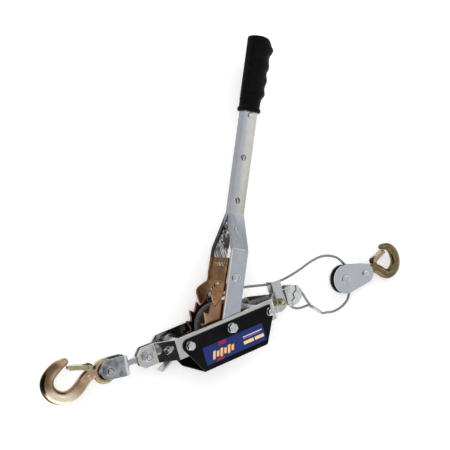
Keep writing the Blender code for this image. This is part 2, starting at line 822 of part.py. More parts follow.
def make_handle_spring(finish, parent):
    start = SPRING_PIN[1] - 0.0068
    points = coil_points(SPRING_RADIUS, SPRING_PITCH, SPRING_CURLS, 8, start, SPRING_PIN[0], 0.0025)
    print(f"drive pawl spring: least gap to itself {least_gap(points, SPRING_WIRE, 6) * 1000:.2f} mm")
    item = make_tube("drive_pawl_spring", points, SPRING_WIRE / 2, finish, 1)
    item.location = (0, 0, 0)
    item.parent = parent
    return item


def make_handle_parts(finishes):
    """Everything on the handle, drawn upright and leaned by its parent at the drum axle."""
    pivot = bpy.data.objects.new("handle_pivot", None)
    bpy.context.collection.objects.link(pivot)
    pivot.location = (0, 0, MID_HEIGHT)
    pivot.rotation_euler = (0, 0, -HANDLE_LEAN)
    items = [make_handle(finishes["zinc"]), make_grip(finishes["rubber"])]
    items.append(make_drive_pawl(finishes["stamped_zinc"]))
    pin = pin_with_heads(DRIVE_PIN_RADIUS, 0.0066, LEG_OUTER + GAP, 0.002)
    items.append(add_solid("drive_pawl_pin", moved(pin, 0, DRIVE_PIN_AT), finishes["bright_zinc"]))
    pin = rod(0.002, -SPRING_PIN_HALF, SPRING_PIN_HALF, ROUND, 0.0005)
    items.append(add_solid("spring_pin", moved(pin, *SPRING_PIN), finishes["bright_zinc"]))
    pin = pin_with_heads(0.0025, 0.0042, CHANNEL_OUTER + GAP, 0.0016)
    pin = moved(pin, 0.0005, GRIP_RIVET_AT)
    items.append(add_solid("grip_rivet", pin, finishes["bright_zinc"]))
    for item in items:
        item.location.z -= MID_HEIGHT
        item.parent = pivot
        for step in item.modifiers:
            step.object.location.z -= MID_HEIGHT
            step.object.parent = pivot
    make_handle_spring(finishes["core"], pivot)


# ---------------------------------------------------------------- holding pawl


def holding_arm_outline():
    """One arm of the holding pawl: hub on the front spacer, toe under the drum, tail to the tab."""
    pivot = (FRONT_BOLT_X, 0.0)
    toe_in = polar(ROOT_RADIUS + 0.0012, HOLDING_TOE_ANGLE)
    toe_out = polar(ROOT_RADIUS + 0.0062, HOLDING_TOE_ANGLE - math.radians(1))
    points = [
        turned(toe_in, pivot, -HOLDING_LIFT),
        turned((-0.0385, -0.0185), pivot, -HOLDING_LIFT),
    ]
    points += arc(pivot, HOLDING_HUB, 15, 200, 12)
    points += [
        (-0.0850, -0.0095),
        (-0.0835, -0.0135),
        (-0.0740, -0.0138),
        (-0.0610, -0.0150),
        turned(toe_out, pivot, -HOLDING_LIFT),
    ]
    return points


def make_holding_pawl(finish):
    pivot = (FRONT_BOLT_X, 0.0)
    arm = holding_arm_outline()
    item = add_solid("holding_pawl", prism(arm, PAWL_INNER, PAWL_OUTER), finish, (*pivot, 0.0))
    bridge = strap([(-0.0765, -0.0118), (-0.0842, -0.0120)], PAWL_WEB)
    tab = strap([(-0.0790, -0.0119), (-0.0845, -0.0128), (-0.0930, -0.0200), (-0.1085, -0.0268)], PAWL_WEB)
    reach = PAWL_OUTER - 0.0005
    joined(
        item,
        prism(arm, -PAWL_OUTER, -PAWL_INNER),
        prism(bridge, -reach, reach),
        prism(tab, -0.0085, 0.0085),
    )
    cut(item, hole(pivot, SPACER_RADIUS + GAP, -0.030, 0.030))
    return item


# ---------------------------------------------------------------- front hook train


def make_ear_fasteners(finishes):
    x, y = FRONT_EAR_BOLT
    bolt = mirrored(headed_bolt(BOLT_RADIUS, EAR_FLATS, -0.0160, EAR_OUTER, EAR_WASHER_RATIO))
    add_solid("front_ear_bolt", moved(bolt, x, y), finishes["bright_zinc"], (x, y, 0))
    nut = mirrored(hex_nut(BOLT_RADIUS, EAR_FLATS, -EAR_OUTER, HEAD_HEIGHT, EAR_WASHER_RATIO))
    add_solid("front_ear_nut", moved(nut, x, y), finishes["bright_zinc"], (x, y, 0))
    x, y = REAR_EAR_BOLT
    face = GUIDE_FLANGE_INNER + GUIDE_SHEET
    bolt = mirrored(headed_bolt(REAR_EAR_RADIUS, REAR_EAR_FLATS, -0.0180, face))
    add_solid("rear_ear_bolt", moved(bolt, x, y), finishes["bright_zinc"], (x, y, 0))
    nut = mirrored(hex_nut(REAR_EAR_RADIUS, REAR_EAR_FLATS, -face, 0.0065))
    add_solid("rear_ear_nut", moved(nut, x, y), finishes["yellow_zinc"], (x, y, 0))


def along_x(mesh, x, y, z):
    """Lays a shape drawn along z on the line through (x, y, z) towards -X."""
    spun(mesh, -math.pi / 2, "Y")
    return moved(mesh, x, y, z)


def make_swivel_rod(finishes):
    x, y = FRONT_EAR_BOLT
    half = EAR_INNER - GAP
    eye = moved(tube_between(BOLT_RADIUS + GAP, ROD_EYE_RADIUS, -half, half, 20), x, y)
    item = add_solid("swivel_rod", eye, finishes["zinc"], (x, y, 0))
    shank = along_x(rod(ROD_RADIUS, 0.0182, 0.0435, 14, 0.0006), x, y, 0)
    neck = [
        (x - 0.0060, y - 0.0055),
        (x - 0.0060, y + 0.0055),
        (x - 0.0192, y + 0.0038),
        (x - 0.0192, y - 0.0038),
    ]
    joined(item, shank, prism(neck, -half, half))
    cut(item, hole((x, y), BOLT_RADIUS + GAP, -0.010, 0.010))
    bore, flat = ring_points(ROD_RADIUS + GAP, ROUND), ring_points(0.0070, ROUND, 6)
    crown = ring_points(0.0062, ROUND)
    rings = [(bore, 0.0), (flat, 0.0), (flat, 0.0052), (crown, 0.0060), (bore, 0.0060)]
    start = x - (CLEVIS_WEB_X - CLEVIS_WEB / 2 - 0.0012)
    nut = along_x(moved(loft(rings, closed=True), 0, 0, start), x, y, 0)
    add_solid("swivel_nut", nut, finishes["bright_zinc"], (x, y, 0))


def clevis_plate_outline():
    """The clevis plate in its own frame: x from the web towards the hook, y across."""
    return [
        (-CLEVIS_WEB / 2, 0.0135),
        (0.0030, 0.0148),
        (0.0290, 0.0142),
        (0.0365, 0.0112),
        (0.0440, 0.0015),
        (0.0370, -0.0100),
        (0.0300, -0.0125),
        (0.0020, -0.0140),
        (-CLEVIS_WEB / 2, -0.0130),
    ]


def clevis_place(mesh):
    """From the clevis's own frame to the object's: it points towards -X, tilted up."""
    spun(mesh, math.pi - CLEVIS_TILT, "Z")
    return moved(mesh, CLEVIS_WEB_X, FRONT_EAR_BOLT[1])


def front_eye():
    """Where the clevis bolt stands."""
    return (
        CLEVIS_WEB_X - CLEVIS_BOLT_AT * math.cos(CLEVIS_TILT),
        FRONT_EAR_BOLT[1] + CLEVIS_BOLT_AT * math.sin(CLEVIS_TILT),
    )


def make_clevis(finishes):
    outer = CLEVIS_INNER + CLEVIS_PLATE
    origin = (CLEVIS_WEB_X, FRONT_EAR_BOLT[1], 0.0)
    outline = [(x, -y) for x, y in clevis_plate_outline()]
    path = [
        (0.048, outer - 0.00175),
        (0.0, outer - 0.00175),
        (0.0, -outer + 0.00175),
        (0.048, -outer + 0.00175),
    ]
    body = clevis_place(prism(strap(rounded_path(path, 0.004, 3), CLEVIS_PLATE), -0.016, 0.016, "xz"))
    item = add_solid("hook_clevis", body, finishes["zinc"], origin)
    kept(item, clevis_place(prism(outline, -0.020, 0.020)))
    web_hole = along_x(rod(ROD_RADIUS + 0.0011, -0.010, 0.010), CLEVIS_WEB_X, FRONT_EAR_BOLT[1], 0)
    cut(item, hole(front_eye(), BOLT_RADIUS + GAP, -0.020, 0.020), web_hole)
    x, y = front_eye()
    bolt = mirrored(headed_bolt(BOLT_RADIUS, EAR_FLATS, -outer - 0.0095, outer, EAR_WASHER_RATIO))
    add_solid("clevis_bolt", moved(bolt, x, y), finishes["bright_zinc"], (x, y, 0))
    nut = mirrored(hex_nut(BOLT_RADIUS, EAR_FLATS, -outer, HEAD_HEIGHT, EAR_WASHER_RATIO))
    add_solid("clevis_nut", moved(nut, x, y), finishes["bright_zinc"], (x, y, 0))


# Each hook's centre line from its tip to its neck, with its half thickness: x runs from the eye towards
# the bowl, y towards the tip.
FRONT_HOOK_LINE = (
    (0.0500, 0.0272, 0.0028),
    (0.0522, 0.0257, 0.0050),
    (0.0575, 0.0233, 0.0064),
    (0.0640, 0.0205, 0.0077),
    (0.0720, 0.0152, 0.0086),
    (0.0795, 0.0078, 0.0091),
    (0.0828, -0.0010, 0.0096),
    (0.0808, -0.0110, 0.0100),
    (0.0735, -0.0195, 0.0102),
    (0.0615, -0.0243, 0.0097),
    (0.0490, -0.0217, 0.0092),
    (0.0385, -0.0145, 0.0090),
    (0.0295, -0.0055, 0.0088),
    (0.0205, 0.0005, 0.0082),
    (0.0125, 0.0000, 0.0060),
)
REAR_HOOK_LINE = (
    (0.0435, 0.0315, 0.0022),
    (0.0460, 0.0307, 0.0040),
    (0.0518, 0.0297, 0.0050),
    (0.0608, 0.0270, 0.0062),
    (0.0668, 0.0203, 0.0072),
    (0.0698, 0.0120, 0.0080),
    (0.0700, 0.0012, 0.0079),
    (0.0670, -0.0065, 0.0082),
    (0.0615, -0.0124, 0.0085),
    (0.0532, -0.0158, 0.0082),
    (0.0460, -0.0148, 0.0082),
    (0.0398, -0.0110, 0.0079),
    (0.0330, -0.0040, 0.0078),
    (0.0240, 0.0010, 0.0072),
    (0.0140, 0.0008, 0.0056),
)
FRONT_LATCH = ((0.0212, 0.0100), (0.0512, 0.0148))
REAR_LATCH = ((0.0262, 0.0130), (0.0495, 0.0222))
HOOK_EYE_SHIFT = (-0.0026, -0.0012)
EYE_RING = 0.0124
EYE_SECTION = 0.0054
LATCH_HALF = 0.0062
LATCH_SHEET = 0.0012
LATCH_DEPTH = 0.0062
LATCH_PIN_RADIUS = 0.0016


def smooth_line(rows, steps):
    """A smooth curve through rows of numbers, with steps between one row and the next."""
    made = []
    for i in range(len(rows) - 1):
        ends = [rows[max(0, i - 1)], rows[i], rows[i + 1], rows[min(len(rows) - 1, i + 2)]]
        for k in range(steps):
            t = k / steps
            made.append(tuple(spline_value(values, t) for values in zip(*ends)))
    made.append(tuple(rows[-1]))
    return made


def spline_value(values, t):
    a, b, c, d = values
    return 0.5 * (2 * b + (c - a) * t + (2 * a - 5 * b + 4 * c - d) * t**2 + (3 * b - a - 3 * c + d) * t**3)


def hook_sweep(line, eye_half):
    """The bent bar of a hook in its own frame, with oval sections."""
    line = smooth_line(line, 2)
    count = 10
    mesh = bmesh.new()
    rings = []
    for i, (x, y, reach) in enumerate(line):
        before, after = line[max(0, i - 1)], line[min(len(line) - 1, i + 1)]
        along = Vector((after[0] - before[0], after[1] - before[1])).normalized()
        across = Vector((-along.y, along.x))
        depth = min(reach * 0.92, eye_half + max(0.0, x - 0.022) * 0.4)
        ring = []
        for k in range(count):
            angle = 2 * math.pi * k / count
            side = across * (reach * math.cos(angle))
            spot = (x + side.x, y + side.y, depth * math.sin(angle))
            ring.append(mesh.verts.new(spot))
        rings.append(ring)
    for first, second in zip(rings, rings[1:]):
        for k in range(count):
            j = (k + 1) % count
            mesh.faces.new((first[k], first[j], second[j], second[k]))
    mesh.faces.new(rings[0][::-1])
    mesh.faces.new(rings[-1])
    bmesh.ops.recalc_face_normals(mesh, faces=mesh.faces)
    return mesh


def eye_mesh(scale, half):
    """The hook's eye: a ring about z with an oval section."""
    profile = []
    for k in range(8):
        angle = 2 * math.pi * k / 8
        profile.append((EYE_RING + EYE_SECTION * math.cos(angle), half * math.sin(angle)))
    mesh = bmesh.new()
    rings = []
    for i in range(24):
        turn = 2 * math.pi * i / 24
        ring = []
        for radius, z in profile:
            ring.append(mesh.verts.new((radius * scale * math.cos(turn), radius * scale * math.sin(turn), z)))
        rings.append(ring)
    for i, ring in enumerate(rings):
        other = rings[(i + 1) % len(rings)]
        for k in range(8):
            j = (k + 1) % 8
            mesh.faces.new((ring[k], ring[j], other[j], other[k]))
    bmesh.ops.recalc_face_normals(mesh, faces=mesh.faces)
    return mesh


def latch_local(ends, scale):
    """The spring latch's pin, direction, length, half width and depth."""
    pin, tip = Vector(ends[0]), Vector(ends[1])
    along = (tip - pin).normalized()
    length = (tip - pin).length
    half, depth = LATCH_HALF * scale + 0.0006, LATCH_DEPTH * scale
    return pin, along, length, half, depth


def make_latch(name, ends, scale, place, finish, origin):
    """A folded strip, its back towards the throat's outside."""
    pin, along, length, half, depth = latch_local(ends, scale)
    tilt = math.atan2(along.y, along.x)
    sheet = LATCH_SHEET
    back_top = 0.0038 * scale

    def stand(mesh):
        spun(mesh, tilt, "Z")
        return place(moved(mesh, pin.x, pin.y))

    def flange(low, high):
        outline = arc((0.0, 0.0), 0.0040 * scale, 200, 90, 8)
        outline += [(length, back_top), (length, back_top - depth), (0.012 * scale, back_top - depth)]
        outline += [(0.004 * scale, -0.0040 * scale)]
        return prism(outline, low, high)

    item = add_solid(name, stand(flange(half - sheet, half)), finish, origin)
    start = 0.0085 * scale
    back = [(start, back_top - sheet), (length, back_top - sheet), (length, back_top), (start, back_top)]
    joined(item, stand(flange(-half, -half + sheet)), stand(prism(back, -half + 0.0002, half - 0.0002)))
    cut(item, stand(rod(LATCH_PIN_RADIUS + GAP, -0.020, 0.020)))
    return item


def make_hook(prefix, line, ends, scale, eye_half, place, eye, finishes):
    """A forged hook with its eye, the pin of its latch, the latch and the latch's spring."""
    item = add_solid(f"{prefix}_hook", place(hook_sweep(line, eye_half)), finishes["yellow_zinc"], eye)
    joined(item, place(eye_mesh(scale, eye_half)))
    bore = place(rod((EYE_RING - EYE_SECTION) * scale, -0.020, 0.020, 24))
    pin, along, length, half, depth = latch_local(ends, scale)
    slot_top = pin.y + 0.012 * scale
    cut(item, bore)
    cheeks = []
    for sign in (1, -1):
        low, high = (half - LATCH_SHEET - GAP, 0.020)
        outline = [
            (pin.x - 0.0056 * scale, pin.y - 0.0080 * scale),
            (pin.x + 0.0200 * scale, pin.y - 0.0080 * scale),
            (pin.x + 0.0200 * scale, slot_top),
            (pin.x - 0.0056 * scale, slot_top),
        ]
        mesh = prism(outline, low, high)
        cheeks.append(place(mesh if sign > 0 else mirrored(mesh)))
    inside = half - LATCH_SHEET - GAP
    lug = moved(rod(0.0042 * scale, -inside, inside, 16), pin.x, pin.y)
    foot = [(-0.0041, 0.0), (0.0041, 0.0), (0.0062, -0.0105), (-0.0062, -0.0105)]
    foot = [(pin.x + x * scale, pin.y + y * scale) for x, y in foot]
    cut(item, *cheeks)
    joined(item, place(lug), place(prism(foot, -inside, inside)))
    cut(item, place(moved(rod(LATCH_PIN_RADIUS + GAP, -0.020, 0.020), pin.x, pin.y)))
    spot = place_point(place, (pin.x, pin.y, 0.0))
    rivet = pin_with_heads(LATCH_PIN_RADIUS, 0.0028 * scale, half + GAP, 0.0010)
    add_solid(f"{prefix}_latch_pin", place(moved(rivet, pin.x, pin.y)), finishes["bright_zinc"], spot)
    make_latch(f"{prefix}_latch", ends, scale, place, finishes["yellow_zinc"], spot)
    return spot


def place_point(place, point):
    """Where a placing function puts one point."""
    mesh = bmesh.new()
    mesh.verts.new(point)
    place(mesh)
    mesh.verts.ensure_lookup_table()
    spot = tuple(mesh.verts[0].co)
    mesh.free()
    return spot


def make_front_hook(finishes):
    """The front hook hangs from its eye's edge, so the eye's middle is beside the bolt."""
    x, y = front_eye()
    dx, dy = HOOK_EYE_SHIFT

    def place(mesh):
        for vert in mesh.verts:
            vert.co.y = -vert.co.y
        bmesh.ops.reverse_faces(mesh, faces=mesh.faces)
        spun(mesh, FRONT_HOOK_ANGLE, "Z")
        return moved(mesh, x + dx, y + dy)

    return make_hook("front", FRONT_HOOK_LINE, FRONT_LATCH, 1.0, 0.0062, place, (x, y, 0.0), finishes)


# ---------------------------------------------------------------- rear end


def guide_outline():
    return [
        (GUIDE_X - 0.002, 0.0325),
        (0.1145, 0.0300),
        (0.1125, 0.0080),
        (0.1105, -0.0040),
        (0.1070, -0.0068),
        (0.1010, -0.0060),
        (GUIDE_X - 0.002, 0.0080),
    ]


def make_rope_guide(finish):
    """A bent strap over the rear ears; the rope runs through its front wall and between its sides."""
    side = GUIDE_FLANGE_INNER + GUIDE_SHEET / 2
    path = [(0.118, side), (GUIDE_X, side), (GUIDE_X, -side), (0.118, -side)]
    body = prism(strap(rounded_path(path, 0.0022, 3), GUIDE_SHEET), -0.010, 0.036, "xz")
    item = add_solid("rope_guide", body, finish)
    kept(item, prism(guide_outline(), -0.020, 0.020))
    low = [(0.090, -0.020), (0.0997, -0.020), (0.0997, PLATE_TOP + 0.001), (0.090, PLATE_TOP + 0.001)]
    cut(
        item,
        prism(low, -0.020, 0.020),
        hole(REAR_EAR_BOLT, REAR_EAR_RADIUS + GAP, -0.020, 0.020),
        along_x(rod(ROPE_DIAMETER / 2 + 0.0012, -0.012, 0.012), *GUIDE_ROPE),
        prism([(0.090, 0.0170), (0.130, 0.0170), (0.130, 0.040), (0.090, 0.040)], -0.020, -0.0048),
    )
    return item


def anchor_outline():
    return [
        (0.1184, 0.0150),
        (0.1260, 0.0172),
        (0.1405, 0.0130),
        (0.1452, 0.0045),
        (0.1425, -0.0070),
        (0.1330, -0.0137),
        (0.1215, -0.0143),
        (0.1180, -0.0110),
    ]


def make_rope_anchor(finish):
    """The rope's dead end: a tongue between the rear ears and two plates with a boss between them."""
    tongue = [(0.0970, -0.0080), (0.1195, -0.0090), (0.1195, 0.0090), (0.0970, 0.0080)]
    half = EAR_INNER - GAP
    item = add_solid("rope_anchor", prism(tongue, -half, half), finish)
    outer, inner = ANCHOR_PLATE_OUTER, ANCHOR_PLATE_INNER
    web = [(0.1170, -0.0115), (0.1196, -0.0115), (0.1196, 0.0135), (0.1170, 0.0135)]
    boss = moved(rod(ANCHOR_BOSS_RADIUS, -inner - 0.001, inner + 0.001), *ANCHOR_BOSS)
    joined(
        item,
        prism(web, -outer + 0.0002, outer - 0.0002),
        prism(anchor_outline(), inner, outer),
        prism(anchor_outline(), -outer, -inner),
        boss,
    )
    slit = strap(
        [(0.1372, 0.0180), (0.1362, 0.0068), (0.1290, 0.0034), (0.1296, -0.0033), (0.1230, -0.0065)],
        0.0015,
    )
    cut(
        item,
        hole(REAR_EAR_BOLT, REAR_EAR_RADIUS + GAP, -0.010, 0.010),
        prism(slit, inner + 0.0012, outer + 0.002),
    )
    return item


# ---------------------------------------------------------------- pulley block


def make_block(finishes):
    outline = hull_of_circles(SHEAVE_AT, CHEEK_BIG, BLOCK_BOLT_AT, CHEEK_SMALL, 16)
    for name, low, high in (
        ("block_cheek_near", CHEEK_INNER, CHEEK_OUTER),
        ("block_cheek_far", -CHEEK_OUTER, -CHEEK_INNER),
    ):
        cheek = prism(outline, BLOCK_Z + low, BLOCK_Z + high)
        item = add_solid(name, cheek, finishes["zinc"], (*SHEAVE_AT, BLOCK_Z))
        cut(
            item,
            hole(SHEAVE_AT, AXLE_RADIUS + GAP, -0.060, 0.0),
            hole(BLOCK_BOLT_AT, BOLT_RADIUS + GAP, -0.060, 0.0),
        )
    bore, groove = ring_points(AXLE_RADIUS + GAP, 24), ring_points(SHEAVE_GROOVE, 24)
    rim = ring_points(SHEAVE_RADIUS, 24)
    half, flat = SHEAVE_HALF, 0.0018
    rings = [(bore, -half), (rim, -half), (rim, -half + 0.0009), (groove, -flat), (groove, flat)]
    rings += [(rim, half - 0.0009), (rim, half), (bore, half)]
    sheave = moved(loft(rings, closed=True), *SHEAVE_AT, BLOCK_Z)
    add_solid("sheave", sheave, finishes["black_sheave"], (*SHEAVE_AT, BLOCK_Z))
    axle = pin_with_heads(AXLE_RADIUS, 0.0078, CHEEK_OUTER + GAP, 0.0014)
    add_solid("sheave_axle", moved(axle, *SHEAVE_AT, BLOCK_Z), finishes["zinc"], (*SHEAVE_AT, BLOCK_Z))
    spot = (*BLOCK_BOLT_AT, BLOCK_Z)
    tail = -(MID_HEIGHT + BLOCK_Z) + GAP
    count = ROUND
    shank, cap = ring_points(BOLT_RADIUS, count), ring_points(0.0056, count)
    face = CHEEK_OUTER + GAP
    rings = [(shank, tail), (shank, face), (cap, face), (cap, face + 0.0012)]
    rings.append((ring_points(0.0042, count), face + 0.0022))
    add_solid("block_bolt", moved(loft(rings), *spot), finishes["bright_zinc"], spot)
    nut = hex_nut(BOLT_RADIUS, 0.0115, -CHEEK_OUTER, 0.0045)
    add_solid("block_nut", moved(nut, *spot), finishes["bright_zinc"], spot)


def make_rear_hook(finishes):
    x, y = BLOCK_BOLT_AT

    def place(mesh):
        spun(mesh, REAR_HOOK_ANGLE, "Z")
        return moved(mesh, *REAR_EYE, BLOCK_Z)

    spot = (x, y, BLOCK_Z)
    return make_hook("rear", REAR_HOOK_LINE, REAR_LATCH, REAR_HOOK_SCALE, 0.0047, place, spot, finishes)


# ---------------------------------------------------------------- the free rope

# The rope's route after the drum: through the guide, over and round the sheave, back to the sleeve,
# then a loop round the anchor's boss.
SLEEVE_START, SLEEVE_END = (0.1799, -0.0462, -0.0140), (0.1654, -0.0320, -0.0095)
SLEEVE_OFFSET = 0.00215
SLEEVE_RADII = (0.0029, 0.0047)
ROPE_ROUTE = (
    (0.0220, 0.0358, -0.0120),
    (0.0400, 0.0385, -0.0075),
    (0.0580, 0.0380, -0.0040),
    (0.0765, 0.0338, -0.0015),
    (0.0978, 0.0288, 0.0000),
    (0.1212, 0.0268, -0.0004),
    (0.1400, 0.0278, -0.0020),
    (0.1605, 0.0304, -0.0040),
    (0.1786, 0.0331, -0.0080),
    (0.2001, 0.0341, -0.0140),
    (0.2185, 0.0318, -0.0200),
    (0.2358, 0.0255, -0.0260),
    (0.2509, 0.0155, -0.0305),
)
WRAP_RADIUS = 0.0186
WRAP_ANGLES = (38, 10, -18, -46)
RETURN_ROUTE = (
    (0.2541, -0.0440, -0.0320),
    (0.2470, -0.0522, -0.0315),
    (0.2354, -0.0575, -0.0300),
    (0.2218, -0.0594, -0.0280),
    (0.2087, -0.0584, -0.0250),
    (0.1970, -0.0546, -0.0210),
)
EYE_UPPER = ((0.1570, -0.0172, -0.0050), (0.1528, -0.0075, -0.0030), (0.1475, 0.0010, -0.0010))
EYE_ANGLES = (50, 88, 126, 164, 195)
EYE_LOWER = (
    (0.1240, -0.0100, -0.0010),
    (0.1275, -0.0180, -0.0025),
    (0.1355, -0.0238, -0.0050),
    (0.1473, -0.0273, -0.0085),
)


def sleeve_frame():
    """The sleeve's line and the direction from one of its two ropes to the other."""
    start, end = Vector(SLEEVE_START), Vector(SLEEVE_END)
    along = (end - start).normalized()
    beside = Vector((along.y, -along.x, 0.0)).normalized()
    return start, end, along, beside.cross(along).normalized()


def rope_points(start):
    """The free rope's centre line, evenly spaced along one smooth curve."""
    x, y, z = start
    route = [(x + GAP, y, z), (x + 0.007, y + 0.0008, z + 0.0003)]
    route += ROPE_ROUTE
    for angle in WRAP_ANGLES:
        dx, dy = polar(WRAP_RADIUS, math.radians(angle))
        route.append((SHEAVE_AT[0] + dx, SHEAVE_AT[1] + dy, BLOCK_Z))
    route += RETURN_ROUTE
    first, last, along, stack = sleeve_frame()
    side = stack * SLEEVE_OFFSET
    route.append(tuple(first + side - along * 0.006))
    route.append(tuple(first + side - along * GAP))
    line = even_line(smooth_line(route, 24), ROPE_SPACING)
    return square_ends(line, Vector((1.0, 0.0, 0.0)), along)


def eye_points():
    """The rope's loop between the sleeve and the anchor's boss."""
    first, last, along, stack = sleeve_frame()
    side = stack * SLEEVE_OFFSET
    route = [tuple(last + side + along * GAP), tuple(last + side + along * 0.0045)]
    route += EYE_UPPER
    for angle in EYE_ANGLES:
        dx, dy = polar(EYE_RADIUS, math.radians(angle))
        route.append((ANCHOR_BOSS[0] + dx, ANCHOR_BOSS[1] + dy, 0.0))
    route += EYE_LOWER
    route += [tuple(last - side + along * 0.0045), tuple(last - side + along * GAP)]
    line = even_line(smooth_line(route, 24), ROPE_SPACING * 0.45)
    return square_ends(line, along, -along)


def make_sleeve(finish):
    """The pressed sleeve that holds the rope's end against the rope: an oval bar with rounded edges."""
    start, end, along, stack = sleeve_frame()
    length = (end - start).length
    wide, thick = SLEEVE_RADII
    rings = []
    for at, shrink in ((0.0, 0.0008), (0.0008, 0.0), (length - 0.0008, 0.0), (length, 0.0008)):
        points = []
        for i in range(16):
            angle = 2 * math.pi * i / 16
            points.append(((wide - shrink) * math.cos(angle), (thick - shrink) * math.sin(angle)))
        rings.append((points, at))
    mesh = loft(rings)
    turn = Matrix((stack.cross(along), stack, along)).transposed().to_4x4()
    bmesh.ops.transform(mesh, matrix=Matrix.Translation(start) @ turn, verts=mesh.verts)
    bmesh.ops.recalc_face_normals(mesh, faces=mesh.faces)
    add_solid("rope_sleeve", mesh, finish)


def square_ends(points, leave, arrive):
    """Adds a straight piece, one rope diameter long, to each end of a line."""
    start, end = Vector(points[0]), Vector(points[-1])
    first = tuple(start + leave * ROPE_DIAMETER)
    last = tuple(end - arrive * ROPE_DIAMETER)
    return [points[0], first, *points[1:-1], last, points[-1]]


def even_line(line, spacing):
    """Points along a line at even steps."""
    lengths = [0.0]
    for first, second in zip(line, line[1:]):
        lengths.append(lengths[-1] + (Vector(second) - Vector(first)).length)
    count = max(2, round(lengths[-1] / spacing))
    points, index = [], 0
    for k in range(count + 1):
        target = lengths[-1] * k / count
        while index < len(lengths) - 2 and lengths[index + 1] < target:
            index += 1
        span = lengths[index + 1] - lengths[index]
        t = 0.0 if span == 0 else (target - lengths[index]) / span
        points.append(tuple(Vector(line[index]).lerp(Vector(line[index + 1]), t)))
    return points


def main():
    clear_scene()
    finishes = make_materials()
    make_side_plate("side_plate_near", True, finishes["zinc"])
    make_side_plate("side_plate_far", False, finishes["zinc"])
    make_guard(finishes["black_paint"])
    make_cross_bolts(finishes["bright_zinc"])
    add_solid("wing_bolt_near", wing_rivet_mesh(), finishes["bright_zinc"])
    add_solid("wing_bolt_far", mirrored(wing_rivet_mesh()), finishes["bright_zinc"])
    make_drum(finishes)
    leave = make_winding(finishes["rope"])
    make_handle_parts(finishes)
    make_holding_pawl(finishes["zinc"])
    make_ear_fasteners(finishes)
    make_swivel_rod(finishes)
    make_clevis(finishes)
    make_front_hook(finishes)
    make_rope_guide(finishes["zinc"])
    make_rope_anchor(finishes["zinc"])
    make_block(finishes)
    make_rear_hook(finishes)
    make_tube("rope", rope_points(leave), ROPE_DIAMETER / 2, finishes["rope"], 2)
    make_tube("rope_eye", eye_points(), ROPE_DIAMETER / 2, finishes["rope"], 2)
    make_sleeve(finishes["aluminium"])


main()
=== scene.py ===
"""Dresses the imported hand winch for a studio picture.

Lengths are in metres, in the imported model's own frame: +X runs from the front hook to the pulley block,
+Y towards the handle's grip, and +Z up from the floor that the winch lies on.
"""

import logging
import math
from dataclasses import dataclass, field
from enum import Enum
from typing import Iterable, Sequence

import bmesh
import bpy
from mathutils import Matrix, Vector


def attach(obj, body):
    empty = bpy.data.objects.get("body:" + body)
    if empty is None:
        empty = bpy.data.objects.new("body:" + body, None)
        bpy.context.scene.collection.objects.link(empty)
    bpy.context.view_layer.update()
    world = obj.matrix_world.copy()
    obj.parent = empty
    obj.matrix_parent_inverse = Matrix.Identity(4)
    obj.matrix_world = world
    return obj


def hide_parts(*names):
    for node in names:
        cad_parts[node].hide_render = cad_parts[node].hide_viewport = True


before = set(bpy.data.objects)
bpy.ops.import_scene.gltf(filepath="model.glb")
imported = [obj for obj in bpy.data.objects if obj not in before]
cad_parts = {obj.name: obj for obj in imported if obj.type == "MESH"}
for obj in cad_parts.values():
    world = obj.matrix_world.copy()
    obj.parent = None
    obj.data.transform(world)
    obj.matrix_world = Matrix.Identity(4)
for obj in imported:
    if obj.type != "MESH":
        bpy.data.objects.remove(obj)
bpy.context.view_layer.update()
LOG = logging.getLogger("winch")

Colour = tuple[float, float, float]
Spot = tuple[float, float, float]
Pair = tuple[float, float]
Socket = bpy.types.NodeSocket
Skin = bmesh.types.BMesh

MID_HEIGHT = 0.0471  # the frame's middle plane above the floor
HANDLE_LEAN = math.radians(27)  # how far the handle leans from +Y towards +X
TOUCH = 0.0003  # between two pieces that touch
UP = (0.0, 0.0, 1.0)
WHITE = (1.0, 1.0, 1.0, 1.0)
SHEET_DEPTH = 0.0004  # the depth of a metal surface's relief
FINE_DEPTH = 0.0002  # the depth of paint's, rubber's and a rope's relief
JOIN_WITHIN = 0.000004  # CAD points this close are one
LEAST_EDGE = 0.000002  # CAD edges shorter than this are dropped
FLAT_WITHIN = math.radians(0.6)  # CAD faces this close to flat are one


class Body(Enum):
    """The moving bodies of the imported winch."""

    FRAME = "frame"
    DRUM = "drum"
    HANDLE = "handle"
    DRIVE_PAWL = "drive_pawl"
    HOLDING_PAWL = "holding_pawl"
    SWIVEL = "swivel_rod"
    CLEVIS = "clevis"
    FRONT_HOOK = "front_hook"
    FRONT_LATCH = "front_latch"
    SHEAVE = "sheave"
    REAR_HOOK = "rear_hook"
    REAR_LATCH = "rear_latch"


class Slot(Enum):
    """The record's material slots."""

    ZINC = "zinc"
    BRIGHT = "bright_zinc"
    YELLOW = "yellow_zinc"
    STAMPED = "stamped_zinc"
    PAINT = "black_paint"
    ROPE = "rope"
    CORE = "core"
    RUBBER = "rubber"
    ALUMINIUM = "aluminium"
    SHEAVE = "black_sheave"


# ---------------------------------------------------------------- shader nodes


